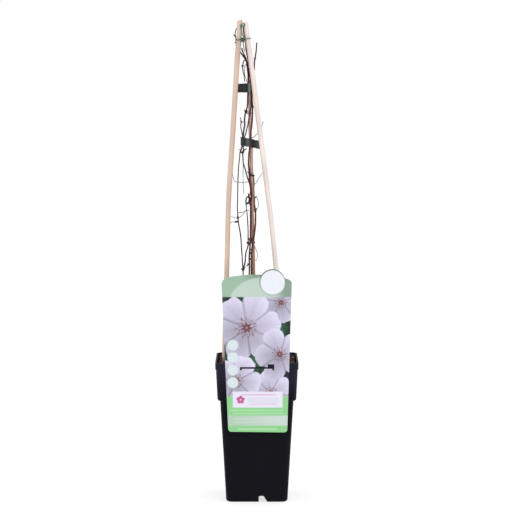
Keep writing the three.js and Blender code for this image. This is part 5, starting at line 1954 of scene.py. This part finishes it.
PICTURE: tuple[Blossom | PrintedLeaf, ...] = (
    PrintedLeaf(56.0, 330.0, 70.0, 13.0, 3.7),
    PrintedLeaf(52.0, 214.0, 60.0, 14.0, 2.3),
    PrintedLeaf(-30.0, 190.0, 66.0, 12.0, 0.9),
    Blossom(38.0, 322.0, 34.0, 0.8),
    Blossom(-16.0, 282.0, 56.0, 0.35, 6),
    Blossom(22.0, 178.0, 36.0, 0.1),
    Blossom(-32.0, 198.0, 40.0, 2.0),
    Blossom(36.0, 240.0, 40.0, 1.2),
)
RULES = (
    PlainRule(-24.0, 30.0, 175.4, 1.2, "#c9819b", 0.7),
    PlainRule(-14.0, 34.0, 166.5, 9.0, "#d0d2e0", 0.6),
    PlainRule(-12.0, 32.0, 160.4, 1.5, "#cb9cb5", 0.5),
    PlainRule(-41.0, 42.0, 150.2, 1.8, "#b4dfb2", 0.7),
    PlainRule(-38.0, 40.0, 145.5, 1.8, "#b4dfb2", 0.7),
    PlainRule(-36.0, 38.0, 137.0, 1.4, "#c6d2c8", 0.8),
    PlainRule(-36.0, 38.0, 132.0, 1.4, "#c6d2c8", 0.8),
    PlainRule(-30.0, 32.0, 120.4, 2.0, "#b9e2b6", 0.7),
)


@dataclass
class PlantCard:
    """The printed card that hooks over the pot's rim, and its hook.

    Heights on the card are measured along it, and are true heights where it touches the rim.

    Attributes:
        hook_z: The height at which it touches the rim.
        badge: The round top that stands above the arch, as (x, z, radius).
        slot: The straight parts of its hanging slot, as (low x, high x, low z, high z).
        cell: The distance between the points that carry its print.
        box: The blank box, as (low x, high x, low z, high z).
    """

    pot: NurseryPot
    gap: float = 0.3
    thickness: float = 0.8
    tilt: float = math.radians(1.8)
    hook_z: float = 214.3
    bottom_z: tuple[float, float] = (116.2, 115.1)
    shoulder_z: float = 352.0
    top_z: float = 366.0
    bottom_x: tuple[float, float] = (-45.2, 48.0)
    shoulder_x: tuple[float, float] = (-55.3, 54.6)
    corner: float = 5.0
    shoulder: float = 8.0
    badge: Point = (24.2, 354.7, 20.0)
    printed_badge: Point = (24.6, 353.8, 20.9)
    slot: tuple[tuple[float, float, float, float], ...] = (
        (-26.6, -23.6, 214.4, 219.6),
        (-26.6, 27.3, 216.8, 219.6),
        (24.4, 27.3, 214.2, 224.0),
        (17.0, 27.3, 219.6, 224.0),
    )
    hook_width: float = 38.0
    hook_depth: float = 12.0
    hook_draft: float = 0.5
    cell: float = 0.9
    picture: tuple[float, float] = (172.5, 330.5)
    strip: tuple[float, float] = (126.0, 142.0)
    box: tuple[float, float, float, float] = (-38.0, 40.6, 154.8, 180.5)
    flower_sign: tuple[float, float] = (-25.6, 167.3)
    discs: tuple[float, ...] = (254.3, 234.6, 214.7, 194.7)
    disc_x: float = -37.7
    disc_radius: float = 8.3
    crease: float = 40.0
    inks: CardInks = CardInks()

    def top_edge(self, x: Array) -> Array:
        """The card's top edge.

        Formula: four quadratic curves make round shoulders and a shallow arch, and the badge's
        circle stands above them.

        Args:
            x: Places across.

        Returns:
            The edge's height at each place.
        """
        left, right = self.shoulder_x
        share = np.linspace(0.0, 1.0, 16)[:, None]
        arch_left = (left + self.shoulder, self.shoulder_z + 9.4)
        arch_right = (right - self.shoulder, self.shoulder_z + 7.5)
        bends = (
            ((left, self.shoulder_z - 1), (left, self.shoulder_z + 5), arch_left),
            (arch_left, (0.4 * left, self.top_z + 0.2), (0, self.top_z)),
            ((0, self.top_z), (0.3 * right, self.top_z + 0.6), arch_right),
            (arch_right, (right, self.shoulder_z + 5), (right, self.shoulder_z)),
        )
        line = np.vstack([quadratic(*np.array(bend), share) for bend in bends])
        arch = np.interp(x, line[:, 0], line[:, 1])
        across = np.clip(self.badge[2] ** 2 - (x - self.badge[0]) ** 2, 0.0, None)
        circle = np.where(across > 0, self.badge[1] + np.sqrt(across), 0.0)
        return np.maximum(arch, circle)

    def bottom_edge(self, x: Array) -> Array:
        """The card's bottom edge, with its two round corners.

        Args:
            x: Places across.

        Returns:
            The edge's height at each place.
        """
        left, right = self.bottom_x
        inward = np.minimum(x - left, right - x)
        short = np.clip(1.0 - inward / self.corner, 0.0, 1.0)
        level = np.interp(x, self.bottom_x, self.bottom_z)
        return level + self.corner * (1.0 - np.sqrt(np.clip(1.0 - short**2, 0.0, 1.0)))

    def sheet_grid(self) -> tuple[Array, Array]:
        """Places of the card's grid, flat.

        Formula: each column runs from the bottom edge to the top edge, and each row is spread
        between the tapering side edges. Columns are closer near the sides.

        Returns:
            (rows, columns) places across and up.
        """
        left, right = self.shoulder_x
        width = right - left
        edge = np.array([0.0, 0.12, 0.35, 0.7, 1.2]) / width
        even = np.linspace(1.8 / width, 1.0 - 1.8 / width, round(width / self.cell))
        share = np.concatenate([edge, even, 1.0 - edge[::-1]])[None, :]
        low = self.bottom_z[1]
        rows = np.linspace(0.0, 1.0, round((self.top_z - low) / self.cell))[:, None]
        top = self.top_edge(left + width * share)
        low_left, low_right = self.bottom_x
        bottom = self.bottom_edge(low_left + (low_right - low_left) * share)
        z = bottom + (top - bottom) * rows
        taper = np.clip((z - low - self.corner) / (self.shoulder_z - low - self.corner), 0, 1)
        left_edge = low_left + (left - low_left) * taper
        right_edge = low_right + (right - low_right) * taper
        return left_edge + (right_edge - left_edge) * share, z

    def leaned(self, x: Array | float, z: Array, depth: float) -> Array:
        """Lays flat places against the pot's lip, leaning out towards the top.

        Args:
            x: Places across.
            z: Places up.
            depth: How far they stand in front of the card's back, in mm.

        Returns:
            (..., 3) places.
        """
        up = z - self.hook_z
        y = -self.pot.rim_half - self.gap - math.sin(self.tilt) * up - math.cos(self.tilt) * depth
        height = self.hook_z + math.cos(self.tilt) * up - math.sin(self.tilt) * depth
        return np.stack(np.broadcast_arrays(x, y, height), axis=-1)

    def sheet(self) -> Surface:
        """The card as a closed slab: front grid, back grid and a rim between them.

        Returns:
            The surface.
        """
        x, z = self.sheet_grid()
        rows, columns = x.shape
        sides = [self.leaned(x, z, depth).reshape(-1, 3) for depth in (self.thickness, 0.0)]
        points = np.concatenate(sides)
        index = np.arange(rows * columns).reshape(rows, columns)
        border = np.concatenate([index[0], index[1:, -1], index[-1, -2::-1], index[-2:0:-1, 0]])
        ahead = np.roll(border, -1)
        behind = rows * columns
        faces = grid_quads(rows, columns, closed=False)
        rim = np.stack([ahead, border, border + behind, ahead + behind], axis=1)
        surface = Surface(
            points=points,
            quads=np.concatenate([faces, faces[:, ::-1] + behind, rim]),
            triangles=np.empty((0, 3), int),
            straight=points,
            tint=np.ones_like(points),
        )
        return surface.facing_out()

    def slot_cutter(self, part: tuple[float, float, float, float]) -> Piece:
        """A block through the card that cuts one straight part of its hanging slot.

        Args:
            part: The part's low x, high x, low z and high z.

        Returns:
            The block.
        """
        low_x, high_x, low_z, high_z = part
        x = np.array([[low_x, high_x, high_x, low_x]])
        z = np.array([[low_z, low_z, high_z, high_z]])
        rings = np.concatenate([self.leaned(x, z, -2.0), self.leaned(x, z, self.thickness + 2.0)])
        return write_mesh("slot_cutter", closed_rings(rings), crease=30.0)

    def print_picture(self, page: Page) -> None:
        """Prints soft dark and mid greens with generic flowers and leaves over them.

        Args:
            page: The front.
        """
        places = np.stack([page.x, page.z], axis=1)
        patches = smooth_noise(places, 42.0, 3)
        streaks = smooth_noise(places @ np.array([[0.8, 0.1], [0.6, 1.0]]), 14.0, 4)
        green = mix(self.inks.shade, self.inks.foliage, np.clip(0.5 + 0.45 * patches, 0, 1))
        page.colours = np.clip(green * (1.0 + 0.16 * streaks)[:, None], 0, 1)
        for motif in PICTURE:
            motif.paint(page)

    def print_bands(self, page: Page) -> None:
        """Prints the green bands above and below the picture.

        Formula: the upper band runs from one green to another, with a duller patch in its middle
        and a pale round sweep at its right. The lower one has a pale strip across it.

        Args:
            page: The front.
        """
        inks = self.inks
        low, high = self.picture
        header = mix(inks.header_left, inks.header_right, soft_step(page.x, 5.0, 60.0))
        header = mix(header, inks.header_middle, bell(page.x, 3.0, 14.0) * bell(page.z, 364.0, 9.0))
        sweep = soft_step(54.0 - np.hypot(page.x - 8.0, (page.z - high + 18.0) * 1.1), 0.0, 3.0)
        header = mix(header, inks.sweep, 0.85 * sweep * soft_step(-page.x, -36.0, 14.0))
        page.ink(header, soft_step(page.z, high, 1.0))
        pale = mix(inks.strip_left, inks.strip_right, soft_step(page.x, 0.0, 60.0))
        footer = mix(inks.footer, pale, band(page.z, *self.strip, 1.0))
        page.ink(footer, soft_step(-page.z, -low, 1.0))

    def print_signs(self, page: Page) -> None:
        """Prints the blank box, the plain rules, a ring of dots, the blank discs and the badge.

        Args:
            page: The front.
        """
        inks = self.inks
        low_x, high_x, low_z, high_z = self.box
        page.ink(inks.box, band(page.x, low_x, high_x, 1.0) * band(page.z, low_z, high_z, 1.0))
        for rule in RULES:
            rule.paint(page)
        sign_x, sign_z = self.flower_sign
        for dot in range(5):
            angle = dot * 2 * math.pi / 5 + 0.3
            away = page.away(sign_x + 3.9 * math.cos(angle), sign_z + 3.9 * math.sin(angle))
            page.ink(inks.dots, soft_step(-away, -2.7, 0.8))
        for height in self.discs:
            away = page.away(self.disc_x, height)
            page.ink(inks.disc_edge, soft_step(-away, -self.disc_radius - 0.6, 1.0))
            page.ink(inks.disc, soft_step(-away, -self.disc_radius + 0.6, 1.0))
            page.ink(inks.disc_ring, 0.3 * bell(away, 4.2, 0.8))
        badge_x, badge_z, badge_radius = self.printed_badge
        away = page.away(badge_x, badge_z)
        ring = mix(inks.badge_foot, inks.badge_top, soft_step(page.z, badge_z, 24.0))
        page.ink(ring, soft_step(-away, -badge_radius, 0.6))
        page.ink(inks.badge, soft_step(-away, -badge_radius + 1.8, 0.8))

    def print_back(self, page: Page) -> None:
        """Prints a green band at the top of the back, and plain rules below it.

        Args:
            page: The back.
        """
        page.ink(self.inks.back_header, soft_step(page.z, self.picture[1], 1.0))
        between = (page.z > 238.0) & (page.z < 322.0) & (np.abs(page.x) < 44.0 - 0.12 * (330.0 - page.z))
        page.ink(self.inks.back_rules, 0.6 * (between & (np.mod(page.z, 9.0) < 1.4)))

    def printed(self, points: Array) -> Array:
        """The print at many places of the card.

        Args:
            points: (n, 3) places.

        Returns:
            (n, 3) sRGB colours.
        """
        x = points[:, 0]
        height = self.hook_z + (points[:, 2] - self.hook_z) / math.cos(self.tilt)
        paper = np.broadcast_to(channels(self.inks.back), points.shape)
        front, back = Page(x, height, paper), Page(x, height, paper)
        self.print_picture(front)
        self.print_bands(front)
        self.print_signs(front)
        self.print_back(back)
        in_front = points[:, 1] < self.leaned(0.0, height, self.thickness / 2)[:, 1]
        return np.where(in_front[:, None], front.colours, back.colours)

    def hook(self) -> Surface:
        """The folded tongue that reaches over the lip and down inside it.

        Returns:
            The surface.
        """
        outer = -self.pot.rim_half - self.gap - self.thickness / 2 - 0.2
        over = self.pot.height + self.gap
        inner = -self.pot.rim_half + self.pot.lip_wall + self.hook_draft + self.gap
        low = over - self.hook_depth
        thick = self.thickness
        y, z = np.array(
            [
                (outer, over), (inner, over), (inner, low),
                (inner + thick, low), (inner + thick, over + thick), (outer, over + thick),
            ]
        ).T
        half = self.hook_width / 2
        x = np.array([-half, -half + 0.1, half - 0.1, half])[:, None]
        rings = np.stack(np.broadcast_arrays(x, y, z), axis=-1)
        return closed_rings(rings, None, np.broadcast_to(channels(self.inks.hook), rings.shape))

    def build(self) -> None:
        """Makes the card, cuts its slot, prints it, and adds the hook."""
        card = write_mesh("plant_card", self.sheet(), self.crease)
        cut_away(card, [self.slot_cutter(part) for part in self.slot], self.crease)
        write_tint(card.data, self.printed(mesh_points(card.data)))
        fit(card, CARD, Slot.CARD, "label")
        fit(write_mesh("card_hook", self.hook(), self.crease), CARD, Slot.CARD)


# ---- studio ----


@dataclass
class Studio:
    """The camera, a pale floor and soft light all round, with places in metres."""

    camera_place: Point = (-0.00136, -3.0, 0.6506)
    pitch: float = math.radians(4.987)
    lens: float = 132.5
    sensor: float = 36.0
    floor_radius: float = 9.0
    floor_depth: float = 20.0
    sky: float = 1.0
    key_place: Point = (1.7, -2.3, 1.9)
    key_size: float = 1.1
    key_power: float = 14.0
    aim: Point = (0.0, 0.0, 0.4)

    def build(self) -> None:
        """Sets up camera, light and floor."""
        scene = bpy.context.scene
        camera = bpy.data.objects.new("camera", bpy.data.cameras.new("camera"))
        camera.data.sensor_width = self.sensor
        camera.data.lens = self.lens
        camera.location = self.camera_place
        camera.rotation_euler = (math.pi / 2 - self.pitch, 0.0, 0.0)
        scene.collection.objects.link(camera)
        scene.camera = camera
        scene.view_settings.view_transform = "Standard"
        scene.world = bpy.data.worlds.new("studio")
        scene.world.use_nodes = True
        background = scene.world.node_tree.nodes["Background"]
        background.inputs["Color"].default_value = linear("#ffffff")
        background.inputs["Strength"].default_value = self.sky
        lamp = bpy.data.lights.new("key", "AREA")
        lamp.size = self.key_size
        lamp.energy = self.key_power
        key = bpy.data.objects.new("key", lamp)
        key.location = self.key_place
        towards = Vector(self.aim) - Vector(self.key_place)
        key.rotation_euler = towards.to_track_quat("-Z", "Y").to_euler()
        scene.collection.objects.link(key)
        self.floor()

    def floor(self) -> None:
        """Lays a wide round floor just under the pot's foot."""
        around = np.linspace(0.0, 2 * math.pi, 96, endpoint=False)
        circle = np.stack([np.cos(around), np.sin(around), 0.0 * around], axis=1)
        ring = circle * self.floor_radius / MM
        rings = np.stack([ring * [0.5, 0.5, 1.0], ring, ring - [0.0, 0.0, self.floor_depth]])
        floor = write_mesh("floor", closed_rings(rings), crease=30.0)
        floor.data.materials.append(LIGHT_TABLE.material())


CANE_LEFT: Route = (
    (-47.6, -12.8, 118), (-50.2, -12.6, 160), (-51.4, -12.3, 200), (-51.5, -12, 233.5), (-47.7, -9, 375),
    (-44.9, -6.4, 479.7), (-39.9, -4.5, 559.1), (-34.9, -2.5, 638.2), (-31.1, -1.2, 701.3),
    (-28.3, -0.5, 732.8), (-26.9, 0, 764.2),
)
CANE_RIGHT: Route = (
    (48, -12.5, 122), (49.2, -12.5, 140), (49.2, -12.4, 168), (47.9, -12.2, 195), (45.7, -12, 222.2),
    (29.8, -9, 377.7), (24.4, -7.5, 431.9), (18.6, -6, 479.7), (8.5, -4.5, 559.1), (-1.9, -2.5, 638.2),
    (-5.7, -2, 669.7), (-9.9, -1.2, 701.3), (-15, -0.5, 735.9), (-17.8, 0, 759.8),
)
TAPE_UPPER = TapeTie(
    "tape_loop_upper",
    "tape_tie_upper",
    loop=(
        (-16.9, 5.8), (-16, 3), (-13.5, 1.6), (-10.6, 1), (-8, 1.1), (-6.8, 3.1), (-6.6, 5.6),
        (-7.7, 9.5), (-8.3, 13), (-10.3, 14.4), (-12.7, 14.2), (-14.7, 11.5), (-16.1, 8.3),
    ),
    tail=((-33, 5.4), (-28, 5.1), (-21, 5.3), (-21, 6.2), (-28, 6.0), (-33, 6.4)),
    bottom=649.4,
    height=14.0,
    slope=0.03,
    seed=41,
    # the streaks are painted highlights on the tape's front
    streaks=((-11.9, 2.0, 0.85), (-18.5, 2.5, 0.12)),
)
TAPE_LOWER = TapeTie(
    "tape_loop_lower",
    "tape_tie_lower",
    loop=(
        (-4.6, 3), (-7.9, 1.2), (-14, 0.5), (-20, 0.6), (-24, 1.4), (-25.7, 4.2), (-24.9, 6.6),
        (-21.1, 8.1), (-15.2, 11.7), (-10.7, 15), (-7.2, 14.5), (-4.7, 11.7), (-4, 7),
    ),
    tail=((9.5, 2.9), (6, 2.8), (1, 2.8), (1, 3.7), (6, 3.6), (9.5, 3.8)),
    bottom=561.3,
    height=13.0,
    slope=-0.2,
    seed=51,
    # the streaks are painted highlights on the tape's front
    streaks=((-14.5, 3.6, 0.5), (2.5, 4.5, 0.4), (-24.0, 2.0, 0.25)),
)


def corners(bounds: tuple[Vector, Vector]) -> list[list[float]]:
    """A box's lowest and highest corner as plain lists."""
    return [list(corner) for corner in bounds]


def main() -> None:
    """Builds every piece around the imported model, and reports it."""
    logging.basicConfig(level=logging.INFO, format="%(name)s: %(message)s")
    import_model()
    Studio().build()
    pot = NurseryPot()
    parts = [
        pot,
        RootBall(pot),
        # Each cane's two colours are its painted shade on the -X and on the +X side.
        PlanedCane(
            "planed_cane_left", "cane_left", CANE_LEFT, (3.95, 4.15), "#cbbab0", "#bf9f8b", 0.28, 21
        ),
        PlanedCane(
            "planed_cane_right", "cane_right", CANE_RIGHT, (4.05, 3.8), "#d9c8c0", "#d7cbc7", 0.0, 22
        ),
        BambooStake(),
        WindingStem("winding_stem_left", "stem_left", STEM_LEFT, 31),
        WindingStem("winding_stem_middle", "stem_middle", STEM_MIDDLE, 61),
        WindingStem("winding_stem_right", "stem_right", STEM_RIGHT, 91),
        TAPE_UPPER,
        TAPE_LOWER,
        TwistTie(),
        PlantCard(pot),
    ]
    for part in parts:
        part.build()


if __name__ == "__main__":
    main()
